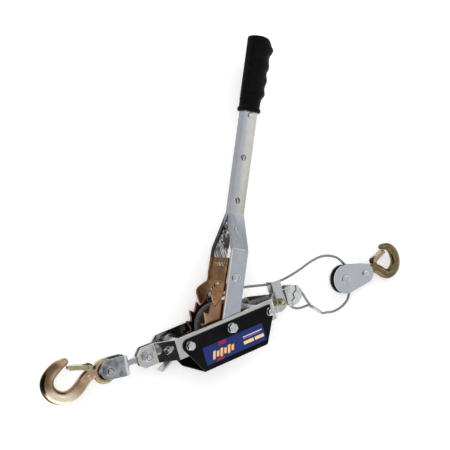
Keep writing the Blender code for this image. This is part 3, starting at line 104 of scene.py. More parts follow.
class NodeBench:
    """Adds shader nodes to a tree and joins their sockets."""

    def __init__(self, tree: bpy.types.NodeTree) -> None:
        """Args: tree: the node tree to work in."""
        self.tree = tree

    def add(self, kind: str, values: dict[str, object] | None = None, **settings: object) -> bpy.types.Node:
        """Adds a node.

        Args:
            kind: the node's type name.
            values: input values by socket name.
            settings: the node's own settings.

        Returns:
            The new node.
        """
        node = self.tree.nodes.new(kind)
        for key, value in settings.items():
            setattr(node, key, value)
        for key, value in (values or {}).items():
            node.inputs[key].default_value = value
        return node

    def join(self, source: Socket, target: Socket) -> None:
        """Joins an output socket to an input socket."""
        self.tree.links.new(source, target)

    def feed(self, target: Socket, value: object) -> None:
        """Joins a socket to an input, or sets the input to a plain value."""
        if isinstance(value, Socket):
            self.join(value, target)
        else:
            target.default_value = value

    def calc(self, operation: str, first: object, second: object) -> Socket:
        """Adds a Math node on two sockets or numbers.

        Args:
            operation: the Math node's operation.
            first: a socket or a number.
            second: a socket or a number.

        Returns:
            The node's output socket.
        """
        node = self.add("ShaderNodeMath", operation=operation)
        self.feed(node.inputs[0], first)
        self.feed(node.inputs[1], second)
        return node.outputs[0]

    def product(self, first: Socket, *others: object) -> Socket:
        """Multiplies a socket by other sockets or numbers in turn."""
        for other in others:
            first = self.calc("MULTIPLY", first, other)
        return first

    def vector(self, operation: str, first: Socket, second: object = None) -> Socket:
        """Adds a Vector Math node.

        Args:
            operation: the node's operation.
            first: a vector socket.
            second: a vector socket or a vector, where the operation takes one.

        Returns:
            The node's value for a length or a dot product, and otherwise its vector.
        """
        node = self.add("ShaderNodeVectorMath", operation=operation)
        self.join(first, node.inputs[0])
        if second is not None:
            self.feed(node.inputs[1], second)
        return node.outputs["Value" if operation in ("LENGTH", "DOT_PRODUCT") else "Vector"]

    def lines(self, place: Socket, stretch: object) -> Socket:
        """Adds noise that is drawn out into lines.

        Args:
            place: the surface's place.
            stretch: the noise's scale along each axis, as a vector or a socket.

        Returns:
            The noise's value.
        """
        noise = self.add("ShaderNodeTexNoise", {"Scale": 1.0, "Detail": 3.0, "Roughness": 0.6})
        self.join(self.vector("MULTIPLY", place, stretch), noise.inputs["Vector"])
        return noise.outputs["Fac"]

    def mix(self, mask: Socket, low: object, high: object) -> Socket:
        """Mixes two colours by a mask.

        Args:
            mask: a socket from 0 to 1.
            low: a colour or a colour socket, shown where the mask is 0.
            high: a colour or a colour socket, shown where the mask is 1.

        Returns:
            The mixed colour's socket.
        """
        node = self.add("ShaderNodeMix", data_type="RGBA")
        self.join(mask, node.inputs["Factor"])
        for index, value in ((6, low), (7, high)):
            self.feed(node.inputs[index], value if isinstance(value, Socket) else (*value, 1.0))
        return node.outputs[2]

    def ramp(self, source: Socket, low: float, high: float) -> Socket:
        """Maps 0 to 1 onto a range of values.

        Args:
            source: the socket to map.
            low: the value at 0.
            high: the value at 1.

        Returns:
            The mapped socket.
        """
        node = self.add("ShaderNodeMapRange")
        self.join(source, node.inputs["Value"])
        node.inputs["To Min"].default_value = low
        node.inputs["To Max"].default_value = high
        return node.outputs["Result"]

    def span(self, source: Socket, low: float, high: float) -> Socket:
        """Rises from 0 to 1 while a socket's value goes from low to high."""
        node = self.add("ShaderNodeMapRange", {"From Min": low, "From Max": high})
        self.join(source, node.inputs["Value"])
        return node.outputs["Result"]

    def slope(self, place: Socket, way: Spot, low: float, high: float) -> Socket:
        """Rises from 0 to 1 along a direction.

        Args:
            place: the surface's place.
            way: the direction.
            low: how far along it the value is 0.
            high: how far along it the value is 1.

        Returns:
            The rising value's socket.
        """
        return self.span(self.vector("DOT_PRODUCT", place, way), low, high)


class EffectGroups:
    """The shader node groups that several finishes share, each built once."""

    def __init__(self) -> None:
        """Builds every group."""
        self.clouds = self._clouds()
        self.grain = self._grain()
        self.wires = self._wires()
        self.panel = self._panel()

    @staticmethod
    def _start(name: str, inputs: dict[str, tuple[str, object]], outputs: Sequence[str]) -> tuple:
        """Starts a group with named sockets.

        Args:
            name: the group's name.
            inputs: each input's socket type and default value.
            outputs: the names of the float outputs.

        Returns:
            The group, a bench on it, its input node and its output node.
        """
        group = bpy.data.node_groups.new(name, "ShaderNodeTree")
        for key, (kind, value) in inputs.items():
            socket = group.interface.new_socket(key, in_out="INPUT", socket_type=kind)
            if value is not None:
                socket.default_value = value
        for key in outputs:
            group.interface.new_socket(key, in_out="OUTPUT", socket_type="NodeSocketFloat")
        bench = NodeBench(group)
        return group, bench, bench.add("NodeGroupInput"), bench.add("NodeGroupOutput")

    def _clouds(self) -> bpy.types.NodeTree:
        """Soft uneven patches, as in a plated or chromated surface."""
        inputs = {
            "Vector": ("NodeSocketVector", None),
            "Scale": ("NodeSocketFloat", 60.0),
            "Contrast": ("NodeSocketFloat", 2.0),
        }
        group, bench, start, end = self._start("uneven_patches", inputs, ("Mask",))
        noise = bench.add("ShaderNodeTexNoise", {"Detail": 4.0, "Roughness": 0.55, "Distortion": 0.6})
        bench.join(start.outputs["Vector"], noise.inputs["Vector"])
        bench.join(start.outputs["Scale"], noise.inputs["Scale"])
        centred = bench.calc("SUBTRACT", noise.outputs["Fac"], 0.5)
        spread = bench.calc("MULTIPLY", centred, start.outputs["Contrast"])
        raised = bench.add("ShaderNodeMath", operation="ADD", use_clamp=True)
        raised.inputs[1].default_value = 0.5
        bench.join(spread, raised.inputs[0])
        bench.join(raised.outputs[0], end.inputs["Mask"])
        return group

    def _grain(self) -> bpy.types.NodeTree:
        """Fine lines along one direction and small dents, as on rolled and handled sheet."""
        inputs = {
            "Vector": ("NodeSocketVector", None),
            "Line Scale": ("NodeSocketVector", (40.0, 900.0, 900.0)),
            "Dent Scale": ("NodeSocketFloat", 260.0),
        }
        group, bench, start, end = self._start("rolled_grain", inputs, ("Height", "Lines"))
        lines = bench.lines(start.outputs["Vector"], start.outputs["Line Scale"])
        dents = bench.add("ShaderNodeTexNoise", {"Detail": 2.0, "Roughness": 0.5})
        bench.join(start.outputs["Vector"], dents.inputs["Vector"])
        bench.join(start.outputs["Dent Scale"], dents.inputs["Scale"])
        fine = bench.product(lines, 0.45)
        bench.join(bench.calc("ADD", fine, dents.outputs["Fac"]), end.inputs["Height"])
        bench.join(lines, end.inputs["Lines"])
        return group

    def _wires(self) -> bpy.types.NodeTree:
        """The single wires of a rope's strands, from its (cosine, sine, length along) attribute."""
        inputs = {
            "Lay": ("NodeSocketVector", None),
            "Wires": ("NodeSocketFloat", 30.0),
            "Slope": ("NodeSocketFloat", 900.0),
            "Strands": ("NodeSocketFloat", 6.0),
        }
        group, bench, start, end = self._start("rope_wires", inputs, ("Height", "Crown"))
        parts = bench.add("ShaderNodeSeparateXYZ")
        bench.join(start.outputs["Lay"], parts.inputs[0])
        angle = bench.calc("ARCTAN2", parts.outputs["Y"], parts.outputs["X"])
        turns = bench.calc("MULTIPLY", angle, start.outputs["Wires"])
        run = bench.calc("MULTIPLY", parts.outputs["Z"], start.outputs["Slope"])
        wave = bench.calc("SINE", bench.calc("ADD", turns, run), 0.0)
        bench.join(bench.ramp(wave, 0.5, 1.0), end.inputs["Height"])
        # each strand's crest, falling between strands; used for painted shade between the strands
        lobes = bench.calc("COSINE", bench.calc("MULTIPLY", angle, start.outputs["Strands"]), 0.0)
        bench.join(bench.ramp(lobes, 0.25, 1.0), end.inputs["Crown"])
        return group

    def _panel(self) -> bpy.types.NodeTree:
        """A slanted block on a flat label: 1 inside it, 0 outside."""
        inputs = {
            "Vector": ("NodeSocketVector", None),
            "Centre": ("NodeSocketVector", (0.0, 0.0, 0.0)),
            "Half": ("NodeSocketVector", (0.01, 0.01, 0.0)),
            "Slant": ("NodeSocketFloat", 0.0),
        }
        group, bench, start, end = self._start("label_block", inputs, ("Mask",))
        away = bench.vector("SUBTRACT", start.outputs["Vector"], start.outputs["Centre"])
        here = bench.add("ShaderNodeSeparateXYZ")
        bench.join(away, here.inputs[0])
        half = bench.add("ShaderNodeSeparateXYZ")
        bench.join(start.outputs["Half"], half.inputs[0])
        lean = bench.calc("MULTIPLY", here.outputs["Y"], start.outputs["Slant"])
        across = bench.calc("ABSOLUTE", bench.calc("SUBTRACT", here.outputs["X"], lean), 0.0)
        along = bench.calc("ABSOLUTE", here.outputs["Y"], 0.0)
        inside = bench.calc("LESS_THAN", across, half.outputs["X"])
        level = bench.calc("LESS_THAN", along, half.outputs["Y"])
        bench.join(bench.calc("MULTIPLY", inside, level), end.inputs["Mask"])
        return group


# ---------------------------------------------------------------- finishes


class Finish:
    """A material made of shader nodes, built the first time that it is asked for."""

    name: str

    def material(self, groups: EffectGroups) -> bpy.types.Material:
        """Gives the material.

        Args:
            groups: the shared shader groups.

        Returns:
            The material of this finish.
        """
        found = bpy.data.materials.get(self.name)
        if found is not None:
            return found
        made = bpy.data.materials.new(self.name)
        made.use_nodes = True
        bench = NodeBench(made.node_tree)
        shader = made.node_tree.nodes["Principled BSDF"]
        self.dress(bench, shader, groups)
        return made

    def dress(self, bench: NodeBench, shader: bpy.types.Node, groups: EffectGroups) -> None:
        """Adds the finish's nodes; each finish has its own."""
        raise NotImplementedError

    @staticmethod
    def use(
        bench: NodeBench, group: bpy.types.NodeTree, place: Socket | None = None, **values: object
    ) -> bpy.types.Node:
        """Places a shared group in a material.

        Args:
            bench: the material's bench.
            group: the shared group.
            place: the surface's place, where the group takes it.
            values: input values, with spaces in socket names written as underscores.

        Returns:
            The group's node.
        """
        node = bench.add("ShaderNodeGroup", node_tree=group)
        for key, value in values.items():
            node.inputs[key.replace("_", " ")].default_value = value
        if place is not None:
            bench.join(place, node.inputs["Vector"])
        return node

    def patches(
        self, bench: NodeBench, groups: EffectGroups, place: Socket, scale: float, contrast: float
    ) -> Socket:
        """Uneven patches over the surface, as a mask."""
        return self.use(bench, groups.clouds, place, Scale=scale, Contrast=contrast).outputs["Mask"]

    @staticmethod
    def relief(
        bench: NodeBench, shader: bpy.types.Node, height: Socket, strength: float, depth: float
    ) -> bpy.types.Node:
        """Gives the surface a relief.

        Args:
            bench: the material's bench.
            shader: the surface's shader.
            height: the relief's height.
            strength: how strongly it shows.
            depth: its depth.

        Returns:
            The relief's node.
        """
        bump = bench.add("ShaderNodeBump", {"Strength": strength, "Distance": depth})
        bench.join(height, bump.inputs["Height"])
        bench.join(bump.outputs["Normal"], shader.inputs["Normal"])
        return bump

    @staticmethod
    def here(bench: NodeBench) -> Socket:
        """The surface's place in the piece's own coordinates."""
        return bench.add("ShaderNodeTexCoord").outputs["Object"]


@dataclass(frozen=True)
class PlatedSteel(Finish):
    """Zinc plated sheet or bar: uneven patches, fine lines and small dents."""

    name: str
    colour: Colour
    patch: Colour
    roughness: float
    patch_scale: float = 55.0
    contrast: float = 2.2
    line_scale: Spot = (900.0, 60.0, 900.0)
    bump: float = 0.10
    metallic: float = 1.0

    def tone(self, bench: NodeBench, mask: Socket, place: Socket) -> Socket:
        """The base colour's socket, from the patches' mask and the surface's place."""
        return bench.mix(mask, self.colour, self.patch)

    def bowed(self, bench: NodeBench, place: Socket, bump: bpy.types.Node) -> None:
        """Lets a finish add the sheet's own bow under the grain."""

    def dress(self, bench: NodeBench, shader: bpy.types.Node, groups: EffectGroups) -> None:
        """Adds patches to the colour and roughness, and the grain to the height."""
        place = self.here(bench)
        mask = self.patches(bench, groups, place, self.patch_scale, self.contrast)
        grain = self.use(bench, groups.grain, place, Line_Scale=self.line_scale)
        bench.join(self.tone(bench, mask, place), shader.inputs["Base Color"])
        rough = bench.ramp(mask, self.roughness - 0.04, self.roughness + 0.06)
        lines = bench.ramp(grain.outputs["Lines"], -0.05, 0.05)
        bench.join(bench.calc("ADD", rough, lines), shader.inputs["Roughness"])
        bump = self.relief(bench, shader, grain.outputs["Height"], self.bump, SHEET_DEPTH)
        self.bowed(bench, place, bump)
        shader.inputs["Metallic"].default_value = self.metallic


@dataclass(frozen=True)
class HandleSteel(PlatedSteel):
    """The handle's plated channel: bowed a little across, with painted light: painted reflection as a warmer
    side and streaks inside, a painted highlight on its cut edge, and painted shade on its shoulder, its far
    leg and inside it.
    """

    # painted shade inside the channel, below the streaks
    inner_shade: Colour = (0.055, 0.050, 0.048)
    # painted reflection: the light streaks inside the channel
    streak_reflection: Colour = (0.66, 0.64, 0.62)
    # painted reflection: the warmer side of the channel above the fork
    warm_reflection: Colour = (0.54, 0.525, 0.50)
    # painted highlight on the cut edge
    highlight_rim: Colour = (0.92, 0.90, 0.89)
    # painted shade on the shoulder between the fork and the channel
    shoulder_shade: Colour = (0.40, 0.425, 0.48)
    # painted shade on the far leg, outside the channel's inner side
    far_side_shade: Colour = (0.11, 0.085, 0.070)
    bow: float = 4.5
    middle: float = 0.0012
    across: Spot = (0.891, -0.454, 0.0)
    along: Spot = (0.454, 0.891, 0.0)
    warm_reflection_side: Pair = (-0.0075, 0.0005)  # across
    highlight_edge: Pair = (-0.0108, -0.0118)  # across
    inner_side: Pair = (-0.0098, -0.0088)  # across
    fork: Pair = (0.109, 0.113)  # along
    channel: Pair = (0.162, 0.168)  # along
    far_level: Pair = (0.0395, 0.0375)  # up
    inner_shade_level: Pair = (0.0465, 0.0415)  # up
    drawn: Spot = (400.0, 14.0, 400.0)
    streak_reflection_span: Pair = (0.44, 0.56)

    def tone(self, bench: NodeBench, mask: Socket, place: Socket) -> Socket:
        """Mixes the patches with painted light: a warmer side above the fork and streaks inside as painted
        reflection, a painted highlight on the cut edge, and painted shade on the shoulder, the far leg and
        inside the channel.
        """
        # painted reflection: a warmer side above the fork
        side = bench.slope(place, self.across, *self.warm_reflection_side)
        upper = bench.slope(place, self.along, *self.channel)
        plain = bench.mix(bench.product(side, upper), super().tone(bench, mask, place), self.warm_reflection)
        # painted highlight along the cut edge
        plain = bench.mix(bench.slope(place, self.across, *self.highlight_edge), plain, self.highlight_rim)
        # painted shade on the shoulder
        risen = bench.slope(place, self.along, *self.fork)
        joined = bench.slope(place, self.along, *reversed(self.channel))
        plain = bench.mix(bench.product(risen, joined), plain, self.shoulder_shade)
        # painted shade on the far leg
        beyond = bench.slope(place, UP, *self.far_level)
        outside = bench.slope(place, self.across, *reversed(self.inner_side))
        plain = bench.mix(bench.product(beyond, outside), plain, self.far_side_shade)
        # painted shade inside the channel, with streaks of painted reflection
        share = bench.span(bench.lines(place, self.drawn), *self.streak_reflection_span)
        within = bench.slope(place, self.across, *self.inner_side)
        depth = bench.slope(place, UP, *self.inner_shade_level)
        inside = bench.mix(share, self.inner_shade, self.streak_reflection)
        return bench.mix(bench.product(within, depth), plain, inside)

    def bowed(self, bench: NodeBench, place: Socket, bump: bpy.types.Node) -> None:
        """Adds a shallow round back across the channel."""
        off = bench.calc("SUBTRACT", bench.vector("DOT_PRODUCT", place, self.across), self.middle)
        height = bench.product(off, off, -self.bow)
        wide = bench.add("ShaderNodeBump", {"Strength": 1.0, "Distance": 1.0})
        bench.join(height, wide.inputs["Height"])
        bench.join(wide.outputs["Normal"], bump.inputs["Normal"])


@dataclass(frozen=True)
class ClevisSteel(PlatedSteel):
    """The clevis's dull zinc, with a painted highlight where the strip is bent."""

    # painted highlight on the bend
    highlight_rim: Colour = (0.80, 0.82, 0.83)
    along: Spot = (0.990, -0.140, 0.0)
    bend: Pair = (-0.1592, -0.1572)  # along

    def tone(self, bench: NodeBench, mask: Socket, place: Socket) -> Socket:
        """Mixes the patches, and a painted highlight on the bend at the clevis's end."""
        # painted highlight on the bend at the clevis's end
        end = bench.slope(place, self.along, *self.bend)
        return bench.mix(end, super().tone(bench, mask, place), self.highlight_rim)


@dataclass(frozen=True)
class AnchorSteel(PlatedSteel):
    """The rope anchor's plate, with painted shade in the slit that is cut into its upper face."""

    # painted shade inside the slit
    painted_shade: Colour = (0.012, 0.011, 0.010)
    slit: Spot = (0.1300, 0.0058, 0.0)
    half: Spot = (0.0085, 0.0135, 0.0)
    sunk: Pair = (0.0563, 0.0560)  # up: the face, and just below it
    near_plate: Pair = (0.0500, 0.0503)  # up

    def tone(self, bench: NodeBench, mask: Socket, place: Socket) -> Socket:
        """Mixes the patches, and dark painted shade below the face inside the slit."""
        region = self.use(bench, GROUPS.panel, place, Centre=self.slit, Half=self.half).outputs["Mask"]
        sunk = bench.slope(place, UP, *self.sunk)
        # painted shade below the face, inside the slit
        share = bench.product(sunk, bench.slope(place, UP, *self.near_plate), region)
        return bench.mix(share, super().tone(bench, mask, place), self.painted_shade)


@dataclass(frozen=True)
class ChromatedSteel(Finish):
    """Yellow passivated zinc: three tones that drift into each other, as an oil film does."""

    name: str
    olive: Colour
    pink: Colour
    brown: Colour
    roughness: float
    scale: float = 38.0
    bump: float = 0.12
    aside: Spot = (0.31, 0.17, 0.09)  # sets the second patches off from the first

    def tinted(self, bench: NodeBench, colour: Socket, place: Socket) -> Socket:
        """Lets a finish tint the three tones by the surface's place."""
        return colour

    def dress(self, bench: NodeBench, shader: bpy.types.Node, groups: EffectGroups) -> None:
        """Adds two sets of patches for the colours, and a faint forged skin."""
        place = self.here(bench)
        broad = self.patches(bench, groups, place, self.scale, 4.0)
        aside = bench.vector("ADD", place, self.aside)
        narrow = self.patches(bench, groups, aside, self.scale * 2.3, 3.0)
        grain = self.use(bench, groups.grain, place, Line_Scale=(300.0, 300.0, 300.0), Dent_Scale=420.0)
        base = bench.mix(broad, self.olive, self.pink)
        tones = bench.mix(bench.ramp(narrow, 0.0, 0.6), base, self.brown)
        bench.join(self.tinted(bench, tones, place), shader.inputs["Base Color"])
        rough = bench.ramp(narrow, self.roughness - 0.04, self.roughness + 0.08)
        bench.join(rough, shader.inputs["Roughness"])
        self.relief(bench, shader, grain.outputs["Height"], self.bump, SHEET_DEPTH)
        shader.inputs["Metallic"].default_value = 1.0


@dataclass(frozen=True)
class BowlChromate(ChromatedSteel):
    """A large hook's chromate with painted light: a dark painted reflection on the outside of its upper bend,
    a pale painted highlight below, and brown painted shade along its inside.
    """

    # painted dark reflection on the outside of the upper bend
    dark_reflection: Colour = (0.15, 0.085, 0.045)
    # painted highlight on the outside of the lower bend
    pale_highlight: Colour = (0.98, 0.84, 0.66)
    # painted shade along the inside
    inner_shade: Colour = (0.22, 0.12, 0.07)
    bowl: Spot = (-0.2480, 0.0150, 0.0471)
    upward: Spot = (0.31, 0.95, 0.0)
    leftward: Spot = (-0.90, -0.44, 0.0)
    outer_reach: Pair = (0.0165, 0.0215)  # from the bowl's middle
    inner_reach: Pair = (0.0200, 0.0165)  # from the bowl's middle
    upper_bend: Pair = (-0.014, -0.004)  # upward
    lower_bend: Pair = (-0.008, -0.018)  # upward
    hollow: Pair = (0.006, -0.002)  # upward
    beside_bowl: Pair = (-0.016, -0.008)  # leftward
    left_bend: Pair = (-0.008, 0.010)  # leftward
    dark_reflection_share: float = 0.9
    inner_shade_share: float = 0.8

    def tinted(self, bench: NodeBench, colour: Socket, place: Socket) -> Socket:
        """Paints reflection, highlight and shade by the distance from the bowl's middle and by the side of
        it.
        """
        away = bench.vector("SUBTRACT", place, self.bowl)
        reach = bench.vector("LENGTH", bench.vector("MULTIPLY", away, (1.0, 1.0, 0.0)))
        outer = bench.span(reach, *self.outer_reach)
        upper = bench.slope(away, self.upward, *self.upper_bend)
        near_bowl = bench.slope(away, self.leftward, *self.beside_bowl)
        below = bench.slope(away, self.upward, *self.lower_bend)
        left = bench.slope(away, self.leftward, *self.left_bend)
        inner = bench.span(reach, *self.inner_reach)
        # painted shade along the inside of the bowl
        hollow = bench.product(inner, bench.slope(away, self.upward, *self.hollow), self.inner_shade_share)
        colour = bench.mix(hollow, colour, self.inner_shade)
        # painted highlight on the outside of the lower bend
        colour = bench.mix(bench.product(below, left, outer), colour, self.pale_highlight)
        # painted dark reflection on the outside of the upper bend
        return bench.mix(bench.product(outer, upper, near_bowl, self.dark_reflection_share), colour, self.dark_reflection)


@dataclass(frozen=True)
class SatinPaint(Finish):
    """Sprayed paint with a faint orange peel and dust."""

    name: str
    colour: Colour
    dust: Colour
    roughness: float
    shine: float = 0.07

    def dress(self, bench: NodeBench, shader: bpy.types.Node, groups: EffectGroups) -> None:
        """Adds dust to the colour and the peel to the height."""
        shader.inputs["Specular IOR Level"].default_value = self.shine
        place = self.here(bench)
        dust = self.patches(bench, groups, place, 45.0, 3.0)
        peel = self.patches(bench, groups, place, 620.0, 1.4)
        bench.join(bench.mix(dust, self.colour, self.dust), shader.inputs["Base Color"])
        bench.join(bench.ramp(dust, self.roughness - 0.05, self.roughness + 0.07), shader.inputs["Roughness"])
        self.relief(bench, shader, peel, 0.12, FINE_DEPTH)


@dataclass(frozen=True)
class MouldedRubber(Finish):
    """Matt black rubber with a fine moulded texture."""

    name: str
    colour: Colour
    worn: Colour
    roughness: float
    shine: float = 0.06

    def dress(self, bench: NodeBench, shader: bpy.types.Node, groups: EffectGroups) -> None:
        """Adds handling marks to the colour and pores to the height."""
        shader.inputs["Specular IOR Level"].default_value = self.shine
        place = self.here(bench)
        marks = self.patches(bench, groups, place, 90.0, 3.5)
        pores = bench.add("ShaderNodeTexVoronoi", {"Scale": 1100.0, "Randomness": 0.9})
        bench.join(place, pores.inputs["Vector"])
        bench.join(bench.mix(marks, self.colour, self.worn), shader.inputs["Base Color"])
        bench.join(bench.ramp(marks, self.roughness, self.roughness + 0.12), shader.inputs["Roughness"])
        self.relief(bench, shader, pores.outputs["Distance"], 0.25, FINE_DEPTH)


@dataclass(frozen=True)
class RopeSteel(Finish):
    """Galvanised rope wires, with painted shade in the valleys between the wires and between the strands."""

    name: str
    colour: Colour
    # painted shade in the valleys
    valley_shade: Colour
    roughness: float
    # painted shade on the rope above a height
    height_shade: Colour = (0.0, 0.0, 0.0)
    shade_from: float = 9.0
    shade_to: float = 9.1

    def dress(self, bench: NodeBench, shader: bpy.types.Node, groups: EffectGroups) -> None:
        """Adds the wires to the colour and the height, and painted shade above a height."""
        lay = bench.add("ShaderNodeAttribute", attribute_name="lay")
        wires = self.use(bench, groups.wires)
        bench.join(lay.outputs["Vector"], wires.inputs["Lay"])
        place = self.here(bench)
        stain = self.patches(bench, groups, place, 170.0, 2.5)
        # painted shade between the wires and the strands, varied by stains
        shade = bench.product(wires.outputs["Height"], wires.outputs["Crown"], bench.ramp(stain, 1.0, 0.6))
        wires_colour = bench.mix(shade, self.valley_shade, self.colour)
        # painted shade above a height
        painted_shade = bench.slope(place, UP, self.shade_from, self.shade_to)
        bench.join(bench.mix(painted_shade, wires_colour, self.height_shade), shader.inputs["Base Color"])
        bench.join(bench.ramp(stain, self.roughness - 0.06, self.roughness + 0.1), shader.inputs["Roughness"])
        self.relief(bench, shader, wires.outputs["Height"], 0.5, FINE_DEPTH)
        shader.inputs["Metallic"].default_value = 0.85


@dataclass(frozen=True)
class LabelBlock:
    """A block of one colour on the label: its middle, half size and slant."""

    colour: Colour
    centre: Pair
    half: Pair
    slant: float = 0.0


@dataclass(frozen=True)
class PrintedLabel(Finish):
    """A glossy printed label with plain blocks and bars, and no lettering."""

    name: str
    field_colour: Colour
    field_shade: Colour
    blocks: tuple[LabelBlock, ...]
    roughness: float = 0.3
    shine: float = 0.2

    def dress(self, bench: NodeBench, shader: bpy.types.Node, groups: EffectGroups) -> None:
        """Lays each block over the coloured field in turn."""
        shader.inputs["Specular IOR Level"].default_value = self.shine
        place = self.here(bench)
        clouds = self.patches(bench, groups, place, 24.0, 1.8)
        colour = bench.mix(clouds, self.field_colour, self.field_shade)
        for block in self.blocks:
            panel = self.use(bench, groups.panel, place, Centre=(*block.centre, 0.0), Half=(*block.half, 0.0))
            panel.inputs["Slant"].default_value = block.slant
            colour = bench.mix(panel.outputs["Mask"], colour, block.colour)
        bench.join(colour, shader.inputs["Base Color"])
        scuff = self.patches(bench, groups, place, 240.0, 2.0)
        bench.join(bench.ramp(scuff, self.roughness - 0.05, self.roughness + 0.1), shader.inputs["Roughness"])


HANDLE_ZINC = HandleSteel(
    "handle_zinc", (0.54, 0.565, 0.625), (0.46, 0.485, 0.55), 0.19, line_scale=(900.0, 70.0, 900.0)
)
PLATE_ZINC = PlatedSteel(
    "plate_zinc", (0.66, 0.66, 0.63), (0.52, 0.52, 0.50), 0.13, line_scale=(60.0, 900.0, 900.0)
)
CLEVIS_ZINC = ClevisSteel("clevis_zinc", (0.46, 0.48, 0.50), (0.20, 0.21, 0.23), 0.32, 130.0, 3.2, bump=0.25)
# paler zinc on the clevis's rounded edges: a painted highlight
CLEVIS_EDGE_HIGHLIGHT = PlatedSteel("clevis_edge_highlight_zinc", (0.86, 0.88, 0.89), (0.70, 0.72, 0.74), 0.26, 150.0)
ROD_ZINC = PlatedSteel("rod_zinc", (0.48, 0.50, 0.54), (0.34, 0.36, 0.40), 0.26)
PALE_ZINC = PlatedSteel(
    "pale_zinc", (0.58, 0.61, 0.65), (0.50, 0.53, 0.58), 0.26, line_scale=(140.0, 140.0, 140.0), bump=0.02
)
ANCHOR_ZINC = AnchorSteel("anchor_zinc", (0.84, 0.85, 0.85), (0.52, 0.53, 0.54), 0.30, 130.0, 3.0, bump=0.06)
BOLT_ZINC = PlatedSteel(
    "bolt_zinc", (0.72, 0.73, 0.75), (0.50, 0.52, 0.55), 0.16, 160.0, line_scale=(300.0, 300.0, 300.0)
)
CLEVIS_BOLT = PlatedSteel(
    "clevis_bolt_zinc", (0.50, 0.52, 0.54), (0.34, 0.36, 0.38), 0.24, 160.0, line_scale=(300.0, 300.0, 300.0)
)
YELLOW_NUT = PlatedSteel("yellow_nut_zinc", (0.52, 0.41, 0.12), (0.34, 0.27, 0.09), 0.24, 150.0)
TAB_ZINC = PlatedSteel("tab_zinc", (0.62, 0.63, 0.62), (0.48, 0.49, 0.48), 0.26)
FRONT_CHROMATE = BowlChromate(
    "front_hook_chromate", (0.46, 0.42, 0.20), (0.58, 0.40, 0.29), (0.30, 0.20, 0.12), 0.16
)
# a darker copy of the hook chromate: painted shade over the whole rear hook
REAR_SHADED_CHROMATE = ChromatedSteel(
    "rear_hook_shaded_chromate", (0.185, 0.190, 0.078), (0.25, 0.150, 0.095), (0.100, 0.085, 0.036), 0.18, 52.0
)
LATCH_CHROMATE = ChromatedSteel(
    "front_latch_chromate", (0.52, 0.50, 0.24), (0.60, 0.56, 0.36), (0.26, 0.22, 0.10), 0.18
)
REAR_LATCH_CHROMATE = ChromatedSteel(
    "rear_latch_chromate", (0.50, 0.42, 0.28), (0.54, 0.38, 0.32), (0.26, 0.17, 0.12), 0.22
)
PAWL_CHROMATE = ChromatedSteel(
    "pawl_chromate", (0.47, 0.29, 0.13), (0.44, 0.21, 0.10), (0.15, 0.062, 0.026), 0.20
)
# paler chromate on the pawl's rounded edges: a painted highlight
PAWL_EDGE_HIGHLIGHT = ChromatedSteel(
    "pawl_edge_highlight_chromate", (0.42, 0.32, 0.22), (0.44, 0.31, 0.22), (0.28, 0.18, 0.11), 0.34
)
# paler chromate on the ratchet wheels' rounded edges: a painted highlight
WHEEL_EDGE_HIGHLIGHT = ChromatedSteel(
    "wheel_edge_highlight_chromate", (0.52, 0.40, 0.30), (0.56, 0.40, 0.31), (0.34, 0.22, 0.15), 0.32
)
NEAR_WHEEL = ChromatedSteel(
    "near_wheel_chromate", (0.42, 0.28, 0.14), (0.40, 0.20, 0.13), (0.22, 0.11, 0.06), 0.24
)
# darker and redder than the near wheel: painted shade, and a redder tint of its own
FAR_WHEEL_SHADED = ChromatedSteel(
    "far_wheel_shaded_chromate", (0.20, 0.050, 0.026), (0.18, 0.034, 0.018), (0.08, 0.018, 0.010), 0.26
)
GUARD_PAINT = SatinPaint("guard_black_paint", (0.0035, 0.0035, 0.0045), (0.007, 0.007, 0.009), 0.30)
SHEAVE_PAINT = SatinPaint("sheave_black", (0.007, 0.007, 0.007), (0.015, 0.015, 0.015), 0.42)
CORE_PAINT = SatinPaint("drum_core_dark", (0.02, 0.02, 0.02), (0.04, 0.04, 0.04), 0.5)
GRIP_RUBBER = MouldedRubber("grip_rubber", (0.0018, 0.0018, 0.0022), (0.004, 0.004, 0.005), 0.40)
WIRE_STEEL = RopeSteel("galvanised_wires", (0.56, 0.57, 0.57), (0.20, 0.205, 0.20), 0.36)
# the last three values paint shade on the turns above a height
WOUND_STEEL = RopeSteel(
    "wound_wires", (0.66, 0.67, 0.66), (0.03, 0.03, 0.028), 0.34, (0.034, 0.027, 0.021), 0.036, 0.050
)
# near-black rope: painted shade between the drum's outer turns
UNDER_SHADE_STEEL = RopeSteel("under_wires_shaded", (0.07, 0.065, 0.06), (0.012, 0.011, 0.010), 0.40)
SPRING_STEEL = PlatedSteel("spring_steel", (0.16, 0.16, 0.16), (0.09, 0.09, 0.09), 0.30)
RIVET_STEEL = PlatedSteel("rivet_steel", (0.66, 0.62, 0.52), (0.44, 0.40, 0.32), 0.20, 300.0)
HINGE_STEEL = ChromatedSteel(
    "hinge_spring_steel", (0.16, 0.08, 0.04), (0.12, 0.06, 0.04), (0.06, 0.03, 0.02), 0.24
)
SLEEVE_ALUMINIUM = PlatedSteel("sleeve_aluminium", (0.68, 0.68, 0.68), (0.52, 0.53, 0.54), 0.28, 180.0)


# ---------------------------------------------------------------- meshes


